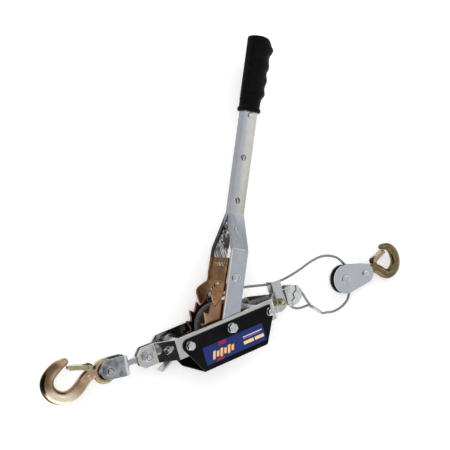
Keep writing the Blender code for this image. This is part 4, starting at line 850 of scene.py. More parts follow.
def stacked(rings: Sequence[Sequence[Vector]], closed: bool = False, capped: bool = True) -> Skin:
    """Draws a skin out from one ring of points through the others.

    Args:
        rings: rings with the same number of points each.
        closed: joins the last ring to the first.
        capped: closes both ends with a face.

    Returns:
        The skin, its faces outwards.
    """
    count = len(rings[0])
    levels = [*rings, rings[0]] if closed else list(rings)
    mesh = bmesh.new()
    made = bmesh.ops.create_grid(mesh, x_segments=count, y_segments=len(levels) - 1, size=0.5)["verts"]
    rows = [made[i * (count + 1) : (i + 1) * (count + 1)] for i in range(len(levels))]
    targets = {}
    for index, (row, points) in enumerate(zip(rows, levels)):
        for column, vert in enumerate(row):
            vert.co = points[column % count]
        home = rows[0] if closed and index == len(rows) - 1 else row
        for column, vert in enumerate(row):
            target = home[column % count]
            if target is not vert:
                targets[vert] = target
    bmesh.ops.weld_verts(mesh, targetmap=targets)
    if capped and not closed:
        open_edges = [edge for edge in mesh.edges if edge.is_boundary]
        bmesh.ops.holes_fill(mesh, edges=open_edges, sides=0)
    bmesh.ops.recalc_face_normals(mesh, faces=mesh.faces)
    return mesh


def circle(radius: float, count: int, height: float = 0.0) -> list[Vector]:
    """Points on a level circle about the z axis."""
    turn = 2 * math.pi / count
    return [Vector((radius * math.cos(turn * i), radius * math.sin(turn * i), height)) for i in range(count)]


def spline_value(values: Sequence[float], t: float) -> float:
    """One number of a smooth curve between the second and third of four values."""
    a, b, c, d = values
    return 0.5 * (2 * b + (c - a) * t + (2 * a - 5 * b + 4 * c - d) * t**2 + (3 * b - a - 3 * c + d) * t**3)


def smooth_line(rows: Sequence[Sequence[float]], steps: int) -> list[tuple[float, ...]]:
    """A smooth curve through rows of numbers.

    Args:
        rows: points, or points with a size beside them.
        steps: how many pieces lie between one row and the next.

    Returns:
        The curve's rows.
    """
    made = []
    for i in range(len(rows) - 1):
        ends = [rows[max(0, i - 1)], rows[i], rows[i + 1], rows[min(len(rows) - 1, i + 2)]]
        for k in range(steps):
            made.append(tuple(spline_value(values, k / steps) for values in zip(*ends)))
    made.append(tuple(rows[-1]))
    return made


def even_line(line: Sequence[Sequence[float]], spacing: float) -> list[Vector]:
    """Points along a line at even steps."""
    spots = [Vector(point) for point in line]
    lengths = [0.0]
    for first, second in zip(spots, spots[1:]):
        lengths.append(lengths[-1] + (second - first).length)
    count = max(2, round(lengths[-1] / spacing))
    points, index = [], 0
    for k in range(count + 1):
        target = lengths[-1] * k / count
        while index < len(lengths) - 2 and lengths[index + 1] < target:
            index += 1
        span = lengths[index + 1] - lengths[index]
        t = 0.0 if span == 0 else (target - lengths[index]) / span
        points.append(spots[index].lerp(spots[index + 1], t))
    return points


def wire_skin(points: Sequence[Vector], radius: float) -> Skin:
    """A round wire along a line of points."""
    side = (points[1] - points[0]).orthogonal().normalized()
    rings = []
    for i, point in enumerate(points):
        along = (points[min(i + 1, len(points) - 1)] - points[max(i - 1, 0)]).normalized()
        side = (side - along * side.dot(along)).normalized()
        other = along.cross(side)
        rings.append([point + (side * spot.x + other * spot.y) * radius for spot in circle(1.0, 12)])
    return stacked(rings)


def lifted(points: Iterable[Sequence[float]]) -> list[Vector]:
    """Points drawn about the frame's middle plane, raised to their place."""
    return [Vector((x, y, z + MID_HEIGHT)) for x, y, z in points]


def mesh_data(name: str, mesh: Skin) -> bpy.types.Mesh:
    """Turns a skin into mesh data, and frees the skin."""
    data = bpy.data.meshes.new(name)
    mesh.to_mesh(data)
    mesh.free()
    return data


def linked(name: str, data: bpy.types.ID) -> bpy.types.Object:
    """Makes an object of its data and puts it into the scene."""
    made = bpy.data.objects.new(name, data)
    bpy.context.collection.objects.link(made)
    return made


def flat_sheet(wide: float, inner_shade: float) -> Skin:
    """A level rectangle about the origin."""
    mesh = bmesh.new()
    bmesh.ops.create_grid(mesh, x_segments=1, y_segments=1, size=0.5)
    bmesh.ops.scale(mesh, vec=(wide, inner_shade, 1.0), verts=mesh.verts)
    return mesh


def raise_faces(mesh: Skin, faces: Sequence[bmesh.types.BMFace], height: float) -> None:
    """Draws faces up into a solid of the given height."""
    grown = bmesh.ops.extrude_face_region(mesh, geom=faces)["geom"]
    raised = [item for item in grown if isinstance(item, bmesh.types.BMVert)]
    bmesh.ops.translate(mesh, verts=raised, vec=(0.0, 0.0, height))


def place_piece(
    name: str,
    mesh: Skin,
    finish: Finish,
    body: Body,
    stands_for: Sequence[str] = (),
    sharp: float = 35.0,
) -> bpy.types.Object:
    """Makes a finished piece of a mesh and sets it on its body.

    Args:
        name: the piece's name.
        mesh: its mesh, in the object's frame; it is freed.
        finish: its finish.
        body: the body that it rides on.
        stands_for: the CAD nodes that it replaces.
        sharp: the angle in degrees above which an edge stays sharp.

    Returns:
        The piece.
    """
    data = mesh_data(name, mesh)
    data.materials.append(finish.material(GROUPS))
    data.shade_smooth()
    data.set_sharp_from_angle(angle=math.radians(sharp))
    piece = linked(name, data)
    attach(piece, body.value)
    if stands_for:
        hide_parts(*stands_for)
    LOG.info("%s: %d faces", name, len(data.polygons))
    return piece


def merged_copy(node: str) -> Skin:
    """A CAD node's mesh with its loose triangles joined and its flats made whole."""
    mesh = bmesh.new()
    mesh.from_mesh(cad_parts[node].data)
    bmesh.ops.remove_doubles(mesh, verts=mesh.verts, dist=JOIN_WITHIN)
    bmesh.ops.dissolve_degenerate(mesh, edges=mesh.edges, dist=LEAST_EDGE)
    bmesh.ops.dissolve_limit(mesh, angle_limit=FLAT_WITHIN, verts=mesh.verts, edges=mesh.edges)
    return mesh


def rounded(mesh: Skin, edges: Sequence[bmesh.types.BMEdge], width: float, segments: int) -> list:
    """Rounds edges of a mesh.

    Args:
        mesh: the mesh.
        edges: its edges that are rounded.
        width: the rounding's width.
        segments: the faces across it.

    Returns:
        The new faces.
    """
    made = bmesh.ops.bevel(
        mesh,
        geom=edges,
        offset=width,
        offset_type="OFFSET",
        affect="EDGES",
        segments=segments,
        profile=0.5,
        material=-1,
        clamp_overlap=True,
    )
    return made["faces"]


def eased(mesh: Skin, width: float, least: float = 32.0) -> Skin:
    """Rounds a mesh's sharp edges; the new faces take the second material.

    Args:
        mesh: the mesh.
        width: the rounding's width.
        least: the least angle in degrees of an edge that is rounded.

    Returns:
        The same mesh.
    """
    edges = [e for e in mesh.edges if len(e.link_faces) == 2 and e.calc_face_angle(0.0) > math.radians(least)]
    for face in rounded(mesh, edges, width, 2):
        face.material_index = 1
    return mesh


def weighted(piece: bpy.types.Object) -> bpy.types.Object:
    """Keeps a rounded sheet's flats flat in the light."""
    step = piece.modifiers.new("flat_faces", "WEIGHTED_NORMAL")
    step.keep_sharp = True
    step.weight = 80
    return piece


GROUPS = EffectGroups()


# ---------------------------------------------------------------- camera and studio


@dataclass(frozen=True)
class Viewpoint:
    """The camera that the photograph was taken with."""

    place: Spot = (-0.6177, 0.3494, 1.3371)
    right: Spot = (0.8334, -0.2739, 0.4801)
    up: Spot = (0.3099, 0.9507, 0.0044)
    back: Spot = (-0.4576, 0.1451, 0.8772)
    lens: float = 80.47

    def build(self) -> None:
        """Makes the camera the scene's own."""
        data = bpy.data.cameras.new("camera")
        data.lens = self.lens
        data.sensor_width = 36.0
        data.clip_start, data.clip_end = 0.02, 60.0
        camera = linked("camera", data)
        turn = Matrix((self.right, self.up, self.back)).transposed().to_4x4()
        camera.matrix_world = Matrix.Translation(self.place) @ turn
        bpy.context.scene.camera = camera


# Name, place, target, size and power
LAMPS = (
    ("key_lamp", (-0.9, 0.7, 1.9), (0.0, 0.05, 0.0), (1.3, 1.0), 17.0),
    ("back_lamp", (0.9, 1.5, 1.3), (0.0, 0.0, 0.0), (1.2, 0.8), 8.0),
)
# Name, place, target, size and glow
CARDS = (
    ("left_card", (-1.86, 0.48, 0.86), (0.0, 0.0, 0.86), (3.1, 1.70), 0.02),
    ("low_card", (-1.06, 0.35, 0.003), (-1.06, 0.35, -1.0), (1.52, 2.30), 0.06),
    ("side_card", (0.05, 0.28, 0.003), (0.05, 0.28, -1.0), (0.30, 0.30), 0.62),
    ("middle_card", (-0.05, 0.09, 0.003), (-0.05, 0.09, -1.0), (0.18, 0.08), 0.36),
    ("far_card", (1.5, 1.2, 0.30), (0.0, 0.0, 0.30), (1.4, 0.50), 0.0),
    ("right_card", (1.9, -0.55, 0.62), (0.0, 0.0, 0.10), (1.6, 1.1), 1.2),
    ("top_card", (1.95, 0.65, 2.2), (1.95, 0.65, 0.0), (1.5, 1.8), 1.15),
    ("near_card", (-0.75, -1.7, 0.80), (-0.1, 0.0, 0.05), (2.4, 1.4), 1.45),
)


@dataclass(frozen=True)
class Studio:
    """A white floor, a bright sky, soft lamps that gloss can't see, and cards that only gloss sees."""

    floor_size: float = 9.0
    floor_colour: Colour = (0.86, 0.86, 0.86)
    sky_light: float = 0.62
    sky_gloss: float = 0.72
    floor_glow: float = 0.34

    def build(self) -> None:
        """Builds the floor, the world, the lamps and the cards."""
        self._floor()
        self._world()
        for lamp in LAMPS:
            self._lamp(*lamp)
        for card in CARDS:
            self._card(*card)
        bpy.context.scene.view_settings.view_transform = "Standard"

    def _floor(self) -> None:
        """The floor, whose camera and gloss rays see it brighter than its own shade."""
        mesh = bmesh.new()
        bmesh.ops.create_grid(mesh, x_segments=2, y_segments=2, size=self.floor_size / 2)
        data = mesh_data("floor", mesh)
        floor = linked("floor", data)
        made, shader = self._surface("studio_floor", self.floor_colour, 0.9)
        bench = NodeBench(made.node_tree)
        bench.join(bench.product(self._seen(bench), self.floor_glow), shader.inputs["Emission Strength"])
        data.materials.append(made)

    @staticmethod
    def _surface(name: str, colour: Colour, roughness: float) -> tuple[bpy.types.Material, bpy.types.Node]:
        """A dull surface that can glow white, and its shader."""
        made = bpy.data.materials.new(name)
        made.use_nodes = True
        shader = made.node_tree.nodes["Principled BSDF"]
        shader.inputs["Base Color"].default_value = (*colour, 1.0)
        shader.inputs["Roughness"].default_value = roughness
        shader.inputs["Specular IOR Level"].default_value = 0.0
        shader.inputs["Emission Color"].default_value = WHITE
        return made, shader

    @staticmethod
    def _seen(bench: NodeBench) -> Socket:
        """1 for a ray from the camera, from gloss or through glass."""
        path = bench.add("ShaderNodeLightPath")
        pair = bench.calc("MAXIMUM", path.outputs["Is Camera Ray"], path.outputs["Is Glossy Ray"])
        return bench.calc("MAXIMUM", pair, path.outputs["Is Transmission Ray"])

    def _world(self) -> None:
        """A white sky for the camera and for gloss, and a softer one as light."""
        world = bpy.data.worlds.new("studio_sky")
        world.use_nodes = True
        bpy.context.scene.world = world
        bench = NodeBench(world.node_tree)
        sky = world.node_tree.nodes["Background"]
        sky.inputs["Color"].default_value = WHITE
        lit = bench.ramp(self._seen(bench), self.sky_light, self.sky_gloss)
        path = bench.add("ShaderNodeLightPath")
        shown = bench.product(path.outputs["Is Camera Ray"], 1.0 - self.sky_gloss)
        bench.join(bench.calc("ADD", lit, shown), sky.inputs["Strength"])

    @staticmethod
    def _facing(place: Spot, target: Spot) -> Matrix:
        """A place whose -Z looks at a target."""
        turn = (Vector(target) - Vector(place)).to_track_quat("-Z", "Y")
        return Matrix.Translation(place) @ turn.to_matrix().to_4x4()

    def _lamp(self, name: str, place: Spot, target: Spot, size: Pair, power: float) -> None:
        """Adds a soft rectangular lamp."""
        data = bpy.data.lights.new(name, "AREA")
        data.shape = "RECTANGLE"
        data.size, data.size_y = size
        data.energy = power
        lamp = linked(name, data)
        lamp.matrix_world = self._facing(place, target)
        lamp.visible_glossy = False

    def _card(self, name: str, place: Spot, target: Spot, size: Pair, glow: float) -> None:
        """Adds a card that only reflections see: dark, or as bright as its glow."""
        data = mesh_data(name, flat_sheet(*size))
        card = linked(name, data)
        card.matrix_world = self._facing(place, target)
        made, shader = self._surface(f"{name}_face", (0.01, 0.01, 0.01), 1.0)
        shader.inputs["Emission Strength"].default_value = glow
        data.materials.append(made)
        card.visible_camera = False
        card.visible_diffuse = False
        card.visible_shadow = False
        card.visible_transmission = False


# ---------------------------------------------------------------- wire rope


@dataclass
class WireRope:
    """Six strands laid round a core, as one skin along a line."""

    diameter: float = 0.0040
    lay_length: float = 0.0270
    strands: int = 6
    points_per_strand: int = 7
    spacing: float = 0.0011
    strand_share: float = 0.36  # a strand's radius, of the rope's

    def _reach(self, angle: float) -> float:
        """The rope's radius at an angle: the outside of the nearest strand."""
        step = 2 * math.pi / self.strands
        off = (angle + step / 2) % step - step / 2
        strand = self.diameter / 2 * self.strand_share
        middle = self.diameter / 2 - strand
        return middle * math.cos(off) + math.sqrt(strand**2 - (middle * math.sin(off)) ** 2)

    def skin(self, line: Sequence[Vector]) -> Skin:
        """Draws the strands along a line.

        Args:
            line: the rope's centre line.

        Returns:
            The skin, with each vertex's place in the lay as an attribute.
        """
        points = even_line(line, self.spacing)
        count = self.strands * self.points_per_strand
        shape = [2 * math.pi * i / count for i in range(count)]
        side = (points[1] - points[0]).orthogonal().normalized()
        rings, lays, run = [], [], 0.0
        for i, point in enumerate(points):
            along = (points[min(i + 1, len(points) - 1)] - points[max(i - 1, 0)]).normalized()
            side = (side - along * side.dot(along)).normalized()
            other = along.cross(side)
            run += (point - points[i - 1]).length if i else 0.0
            twist = 2 * math.pi * run / self.lay_length
            ring = []
            for angle in shape:
                reach = self._reach(angle)
                turned = angle + twist
                ring.append(point + side * (reach * math.cos(turned)) + other * (reach * math.sin(turned)))
                lays.append((math.cos(angle), math.sin(angle), run))
            rings.append(ring)
        mesh = stacked(rings)
        layer = mesh.verts.layers.float_vector.new("lay")
        for vert, lay in zip(mesh.verts, lays):
            vert[layer] = lay
        return mesh


@dataclass
class RopeRun:
    """The free rope: off the drum, through the guide, round the sheave, and back to a sleeved eye."""

    rope: WireRope = field(default_factory=WireRope)
    start: Spot = (0.0043, 0.0313, -0.0150)
    route: tuple[Spot, ...] = (
        (0.0220, 0.0358, -0.0120),
        (0.0400, 0.0385, -0.0075),
        (0.0580, 0.0380, -0.0040),
        (0.0765, 0.0338, -0.0015),
        (0.0978, 0.0288, 0.0000),
        (0.1212, 0.0268, -0.0004),
        (0.1400, 0.0278, -0.0020),
        (0.1605, 0.0304, -0.0040),
        (0.1786, 0.0331, -0.0080),
        (0.2001, 0.0341, -0.0140),
        (0.2185, 0.0318, -0.0200),
        (0.2358, 0.0255, -0.0260),
        (0.2509, 0.0155, -0.0305),
    )
    sheave: Spot = (0.2512, -0.0187, -0.0320)
    wrap_radius: float = 0.0186
    wrap_angles: tuple[float, ...] = (38.0, 10.0, -18.0, -46.0)
    back: tuple[Spot, ...] = (
        (0.2541, -0.0440, -0.0320),
        (0.2470, -0.0522, -0.0315),
        (0.2354, -0.0575, -0.0300),
        (0.2218, -0.0594, -0.0280),
        (0.2087, -0.0584, -0.0250),
        (0.1970, -0.0546, -0.0210),
    )
    sleeve: tuple[Spot, Spot] = ((0.1799, -0.0462, -0.0140), (0.1654, -0.0320, -0.0095))
    sleeve_offset: float = 0.00215
    sleeve_radii: Pair = (0.0029, 0.0047)
    boss: Pair = (0.1308, 0.0010)
    eye_radius: float = 0.0073
    eye_upper: tuple[Spot, ...] = (
        (0.1570, -0.0172, -0.0050),
        (0.1528, -0.0075, -0.0030),
        (0.1475, 0.0010, -0.0010),
    )
    eye_angles: tuple[float, ...] = (50.0, 88.0, 126.0, 164.0, 195.0)
    eye_lower: tuple[Spot, ...] = (
        (0.1240, -0.0100, -0.0010),
        (0.1275, -0.0180, -0.0025),
        (0.1355, -0.0238, -0.0050),
        (0.1473, -0.0273, -0.0085),
    )
    eye_tail: float = 0.0045
    steps: int = 24

    def _sleeve_frame(self) -> tuple[Vector, Vector, Vector, Vector]:
        """The sleeve's ends, its direction, and the direction from one of its ropes to the other."""
        first, last = Vector(self.sleeve[0]), Vector(self.sleeve[1])
        along = (last - first).normalized()
        beside = Vector((along.y, -along.x, 0.0)).normalized()
        return first, last, along, beside.cross(along).normalized()

    def rope_line(self) -> list[Vector]:
        """The free rope's centre line."""
        x, y, z = self.start
        route: list[Sequence[float]] = [(x + TOUCH, y, z), (x + 0.0035, y + 0.0002, z)]
        route += [(x + 0.007, y + 0.0008, z + 0.0003), *self.route]
        for angle in self.wrap_angles:
            turn = math.radians(angle)
            dx, dy = self.wrap_radius * math.cos(turn), self.wrap_radius * math.sin(turn)
            route.append((self.sheave[0] + dx, self.sheave[1] + dy, self.sheave[2]))
        route += self.back
        first, _, along, stack = self._sleeve_frame()
        side = stack * self.sleeve_offset
        route += [tuple(first + side - along * 0.006), tuple(first + side - along * TOUCH)]
        return lifted(smooth_line(route, self.steps))

    def eye_line(self) -> list[Vector]:
        """The loop between the sleeve and the anchor's boss."""
        _, last, along, stack = self._sleeve_frame()
        side = stack * self.sleeve_offset
        near, far = along * TOUCH, along * self.eye_tail
        route: list[Sequence[float]] = [tuple(last + side + near), tuple(last + side + far), *self.eye_upper]
        for angle in self.eye_angles:
            turn = math.radians(angle)
            dx, dy = self.eye_radius * math.cos(turn), self.eye_radius * math.sin(turn)
            route.append((self.boss[0] + dx, self.boss[1] + dy, 0.0))
        route += self.eye_lower
        route += [tuple(last - side + far), tuple(last - side + near)]
        return lifted(smooth_line(route, self.steps))

    def _sleeve_mesh(self) -> Skin:
        """The pressed sleeve: an oval bar with two pressed waists and rounded ends."""
        first, last, along, stack = self._sleeve_frame()
        length = (last - first).length
        wide, thick = self.sleeve_radii
        rows = [(0.0, 0.0011), (0.0003, 0.0004), (0.0009, 0.0)]
        for k in range(25):
            rows.append((length * (0.08 + 0.84 * k / 24), 0.0004 * math.sin(3 * math.pi * k / 24) ** 2))
        rows += [(length - 0.0009, 0.0), (length - 0.0003, 0.0004), (length, 0.0011)]
        turn = Matrix((stack.cross(along), stack, along)).transposed().to_4x4()
        rings = []
        for at, shrink in rows:
            ring = []
            for spot in circle(1.0, 36, at):
                ring.append(turn @ Vector((spot.x * (wide - shrink), spot.y * (thick - shrink), at)) + first)
            rings.append(lifted(ring))
        return stacked(rings)

    def build(self) -> None:
        line, eye = self.rope_line(), self.eye_line()
        skin, metal, slot = self._sleeve_mesh(), SLEEVE_ALUMINIUM, Slot.ALUMINIUM
        sleeve = place_piece("pressed_sleeve", skin, metal, Body.FRAME, ("rope_sleeve",), 45.0)
        skin = self.rope.skin(line)
        rope = place_piece("rope_strands", skin, WIRE_STEEL, Body.FRAME, ("rope",), 80.0)
        skin = self.rope.skin(eye)
        loop = place_piece("rope_eye_strands", skin, WIRE_STEEL, Body.FRAME, ("rope_eye",), 80.0)
        even_line(line, 0.003)
        even_line(eye, 0.002)


@dataclass
class DrumWinding:
    """Two layers of rope on the drum: a loose outer one, and an inner one coloured dark as painted shade,
    that shows between its turns.

    The inner layer is sunk into the drum's core by up to 2.6 mm, and crosses the outer one.
    """

    rope: WireRope = field(default_factory=lambda: WireRope(points_per_strand=6, spacing=0.0014))
    radius: float = 0.0313
    layer: float = 0.0030
    pitch: float = 0.0058
    turns: float = 5.5
    exit_z: float = -0.0150
    wheel_face: float = 0.0207
    points_per_turn: int = 36

    def line(self, radius: float, shift: float) -> list[Vector]:
        """A layer's centre line, which leaves the drum's top towards the block.

        Args:
            radius: the layer's radius.
            shift: how far the layer is set off along the drum.

        Returns:
            Its points.
        """
        steps = round(self.turns * self.points_per_turn)
        points = []
        for i in range(steps + 1):
            share = i / steps
            angle = math.pi / 2 + 2 * math.pi * self.turns * (1 - share)
            z = self.exit_z + shift + self.turns * self.pitch * (1 - share)
            z = min(z, self.wheel_face - self.rope.diameter / 2)
            points.append((radius * math.cos(angle), radius * math.sin(angle), z))
        x, y, z = points[-1]
        points.append((x + self.rope.diameter, y, z))
        return lifted(points)

    def build(self) -> None:
        """Builds both layers in place of the plain tube."""
        outer = self.rope.skin(self.line(self.radius, 0.0))
        place_piece("drum_winding", outer, WOUND_STEEL, Body.FRAME, ("rope_winding",), 80.0)
        # the inner layer, coloured dark as painted shade between the outer turns
        inner = self.rope.skin(self.line(self.radius - self.layer, -self.pitch / 2))
        place_piece("drum_winding_under", inner, UNDER_SHADE_STEEL, Body.FRAME, (), 80.0)


# ---------------------------------------------------------------- fasteners and turned pieces


@dataclass(frozen=True)
class HexFastener:
    """A hex bolt, or a hex nut where it has no tail, drawn up from its washer's seat along its own axis."""

    node: str
    finish: Finish
    body: Body
    spot: Pair
    seat: float
    flats: float
    radius: float
    turn: float = 0.0
    level: float = 0.0
    slot: Slot = Slot.BRIGHT
    washer: float = 1.16
    height: float = 0.0060
    tail: float | None = None
    thread: float = 0.0120
    pitch: float = 0.0010
    washer_sheet: float = 0.0015
    thread_depth: float = 0.0003
    flare: tuple[Pair, ...] = ((0.98, 0.0), (1.06, 0.0001), (1.155, 0.0006))  # of half the flats; height
    count: int = 48

    def _round(self, radius: float, height: float) -> list[Vector]:
        """A round ring."""
        return circle(radius, self.count, height)

    def _hexed(self, most: float, height: float) -> list[Vector]:
        """A ring of the hex, cut back to a circle where its corners stand out further."""
        step = math.pi / 3
        points = []
        for spot in circle(1.0, self.count, height):
            angle = math.atan2(spot.y, spot.x)
            reach = min(most, self.flats / 2 / math.cos((angle + step / 2) % step - step / 2))
            points.append(Vector((spot.x * reach, spot.y * reach, height)))
        return points

    def _head(self) -> list[list[Vector]]:
        """The washer and the hex with its cut corners, from the seat up."""
        disc, half = self.flats / 2 * self.washer, self.flats / 2
        top = self.seat + self.washer_sheet
        rings = [self._round(disc - 0.0002, self.seat), self._round(disc, self.seat + 0.0002)]
        rings += [self._round(disc, top - 0.0003), self._round(disc - 0.0003, top)]
        rings += [self._hexed(half * share, top + height) for share, height in self.flare]
        end = top + self.height
        for share in (1.0, 0.8, 0.6, 0.4, 0.2, 0.0):
            rings.append(self._hexed(half * (0.94 + 0.215 * share), end - 0.0008 * share))
        return rings

    def _thread(self) -> list[list[Vector]]:
        """The shank from its tail, with a helical thread on its last part."""
        rings = [self._round(self.radius - 0.0009, self.tail)]
        rings.append(self._round(self.radius - 0.0004, self.tail + 0.0005))
        steps = round((self.thread - 0.001) / self.pitch * 6)
        for k in range(steps + 1):
            z = self.tail + 0.0007 + (self.thread - 0.001) * k / steps
            ring = []
            for i, spot in enumerate(circle(1.0, self.count, z)):
                wave = 0.5 + 0.5 * math.cos(2 * math.pi * (z / self.pitch - i / self.count))
                reach = self.radius - self.thread_depth * wave
                ring.append(Vector((spot.x * reach, spot.y * reach, z)))
            rings.append(ring)
        rings.append(self._round(self.radius, self.tail + self.thread + 0.0003))
        rings.append(self._round(self.radius, self.seat))
        return rings

    def build(self) -> None:
        """Builds the fastener in place of its plain solid."""
        end = self.seat + self.washer_sheet + self.height
        if self.tail is None:
            bore = self.radius + TOUCH
            rings = [self._round(bore, self.seat), *self._head()]
            rings += [self._round(bore + 0.0006, end), self._round(bore, end - 0.0006)]
            mesh = stacked(rings, closed=True)
        else:
            rings = [*self._thread(), *self._head()]
            rings.append(self._round(self.flats * 0.36, end - 0.0002))
            rings.append(self._round(self.flats * 0.12, end - 0.0003))
            mesh = stacked(rings)
        turn = Matrix.Rotation(math.radians(self.turn), 4, "Y")
        place = Matrix.Translation((*self.spot, self.level + MID_HEIGHT)) @ turn
        bmesh.ops.transform(mesh, matrix=place, verts=mesh.verts)
        place_piece(f"{self.node}_hex", mesh, self.finish, self.body, (self.node,), 28.0)


FRONT_EYE = (-0.184510, 0.005347)  # the clevis bolt
BLOCK_EYE = (0.2893, -0.0222)  # the pulley block's bolt
BLOCK_LEVEL = -0.0320
FRONT_EAR, REAR_EAR = (-0.1232, 0.0012), (0.1050, -0.0010)
WING = (-0.09498, 0.0028)
PLATE_SEAT, STUD_TAIL = 0.0381, -0.0471
OVER = 180.0  # turned over, so that it points down


def cross_pair(bolt: str, nut: str, x: float, flats: float, radius: float) -> tuple[HexFastener, HexFastener]:
    """A bolt through both side plates, and its nut.

    Args:
        bolt: the bolt's node.
        nut: the nut's node.
        x: their place along the frame.
        flats: their width across flats.
        radius: the bolt's radius.

    Returns:
        The bolt and the nut.
    """
    return (
        HexFastener(bolt, BOLT_ZINC, Body.FRAME, (x, 0.0), PLATE_SEAT, flats, radius, tail=STUD_TAIL),
        HexFastener(nut, BOLT_ZINC, Body.FRAME, (x, 0.0), PLATE_SEAT, flats, radius, OVER),
    )


def wing_bolt(node: str, turn: float, level: float) -> HexFastener:
    """A bolt in a wing of the side plates, square to the wing."""
    return HexFastener(
        node, BOLT_ZINC, Body.FRAME, WING, 0.0018, 0.0085, 0.003, turn, level, tail=-0.0060, thread=0.0050
    )


FASTENERS = (
    *cross_pair("front_cross_bolt", "front_cross_nut", -0.070, 0.0110, 0.004),
    *cross_pair("drum_axle", "drum_axle_nut", 0.0, 0.0125, 0.005),
    *cross_pair("rear_cross_bolt", "rear_cross_nut", 0.067, 0.0110, 0.004),
    HexFastener(
        "front_ear_bolt", BOLT_ZINC, Body.FRAME, FRONT_EAR, 0.0071, 0.0125, 0.004, OVER, washer=1.3,
        tail=-0.0160,
    ),
    HexFastener("front_ear_nut", BOLT_ZINC, Body.FRAME, FRONT_EAR, 0.0071, 0.0125, 0.004, washer=1.3),
    HexFastener("rear_ear_bolt", BOLT_ZINC, Body.FRAME, REAR_EAR, 0.0094, 0.0090, 0.003, OVER, tail=-0.0180),
    HexFastener(
        "rear_ear_nut", YELLOW_NUT, Body.FRAME, REAR_EAR, 0.0094, 0.0090, 0.003, slot=Slot.YELLOW,
        height=0.0065,
    ),
    wing_bolt("wing_bolt_near", -54.28, 0.0234),
    wing_bolt("wing_bolt_far", -125.72, -0.0234),
    HexFastener(
        "clevis_bolt", CLEVIS_BOLT, Body.CLEVIS, FRONT_EYE, 0.0123, 0.0125, 0.004, OVER, washer=1.3,
        tail=-0.0215,
    ),
    HexFastener("clevis_nut", CLEVIS_BOLT, Body.CLEVIS, FRONT_EYE, 0.0123, 0.0125, 0.004, washer=1.3),
    HexFastener(
        "block_nut", BOLT_ZINC, Body.FRAME, BLOCK_EYE, 0.0077, 0.0115, 0.004, OVER, BLOCK_LEVEL, height=0.0045
    ),
)


@dataclass(frozen=True)
class Turned:
    """A piece turned about an upright axis, from its outline of radii and heights."""

    node: str
    name: str
    finish: Finish
    body: Body
    slot: Slot
    spot: Pair
    outline: tuple[Pair, ...]
    level: float = 0.0
    bored: bool = False
    count: int = 64

    def build(self) -> None:
        """Builds the piece in place of its plain solid."""
        mesh = stacked([circle(radius, self.count, z) for radius, z in self.outline], closed=self.bored)
        bmesh.ops.translate(mesh, verts=mesh.verts, vec=(*self.spot, self.level + MID_HEIGHT))
        place_piece(self.name, mesh, self.finish, self.body, (self.node,), 32.0)


def rivet_outline(radius: float, head: float, half: float, high: float, ringed: bool = False) -> tuple:
    """A rivet with a domed head on each end.

    Args:
        radius: the shank's radius.
        head: the heads' radius.
        half: half the length between the heads.
        high: how high a head stands.
        ringed: whether a groove runs round the middle of each head.

    Returns:
        Its outline as (radius, height) rows.
    """
    dome = [(head * 0.98, 0.0), (head, 0.18), (head * 0.97, 0.45), (head * 0.88, 0.75), (head * 0.74, 0.94)]
    if ringed:
        groove = [(0.68, 0.92), (0.64, 0.35), (0.48, 0.35), (0.44, 0.95), (0.18, 1.0)]
        dome += [(head * share, rise) for share, rise in groove]
    else:
        dome += [(head * 0.50, 1.0), (head * 0.20, 1.0)]
    upper = [(reach, half + high * rise) for reach, rise in dome]
    lower = [(reach, -z) for reach, z in reversed(upper)]
    return (*lower, (radius, -half), (radius, half), *upper)


def on_handle(x: float, y: float) -> Pair:
    """A place in the handle's own frame, seen from above the object."""
    cosine, sine = math.cos(HANDLE_LEAN), math.sin(HANDLE_LEAN)
    return (x * cosine + y * sine, y * cosine - x * sine)


SHEAVE_OUTLINE = (
    (0.0053, -0.0047),
    (0.0218, -0.0047),
    (0.0222, -0.0043),
    (0.0222, -0.0038),
    (0.0208, -0.0030),
    (0.0180, -0.0023),
    (0.0162, -0.0016),
    (0.0154, 0.0),
    (0.0162, 0.0016),
    (0.0180, 0.0023),
    (0.0208, 0.0030),
    (0.0222, 0.0038),
    (0.0222, 0.0043),
    (0.0218, 0.0047),
    (0.0053, 0.0047),
)
BLOCK_BOLT_OUTLINE = (
    (0.0032, -0.0148),
    (0.0040, -0.0140),
    (0.0040, 0.0077),
    (0.0055, 0.0077),
    (0.0056, 0.0080),
    (0.0055, 0.0088),
    (0.0049, 0.0095),
    (0.0038, 0.0098),
    (0.0020, 0.0099),
)
SPRING_PIN_OUTLINE = ((0.0015, -0.0195), (0.0020, -0.0190), (0.0020, 0.0190), (0.0015, 0.0195))
SHEAVE_SPOT = (0.2512, -0.0187)
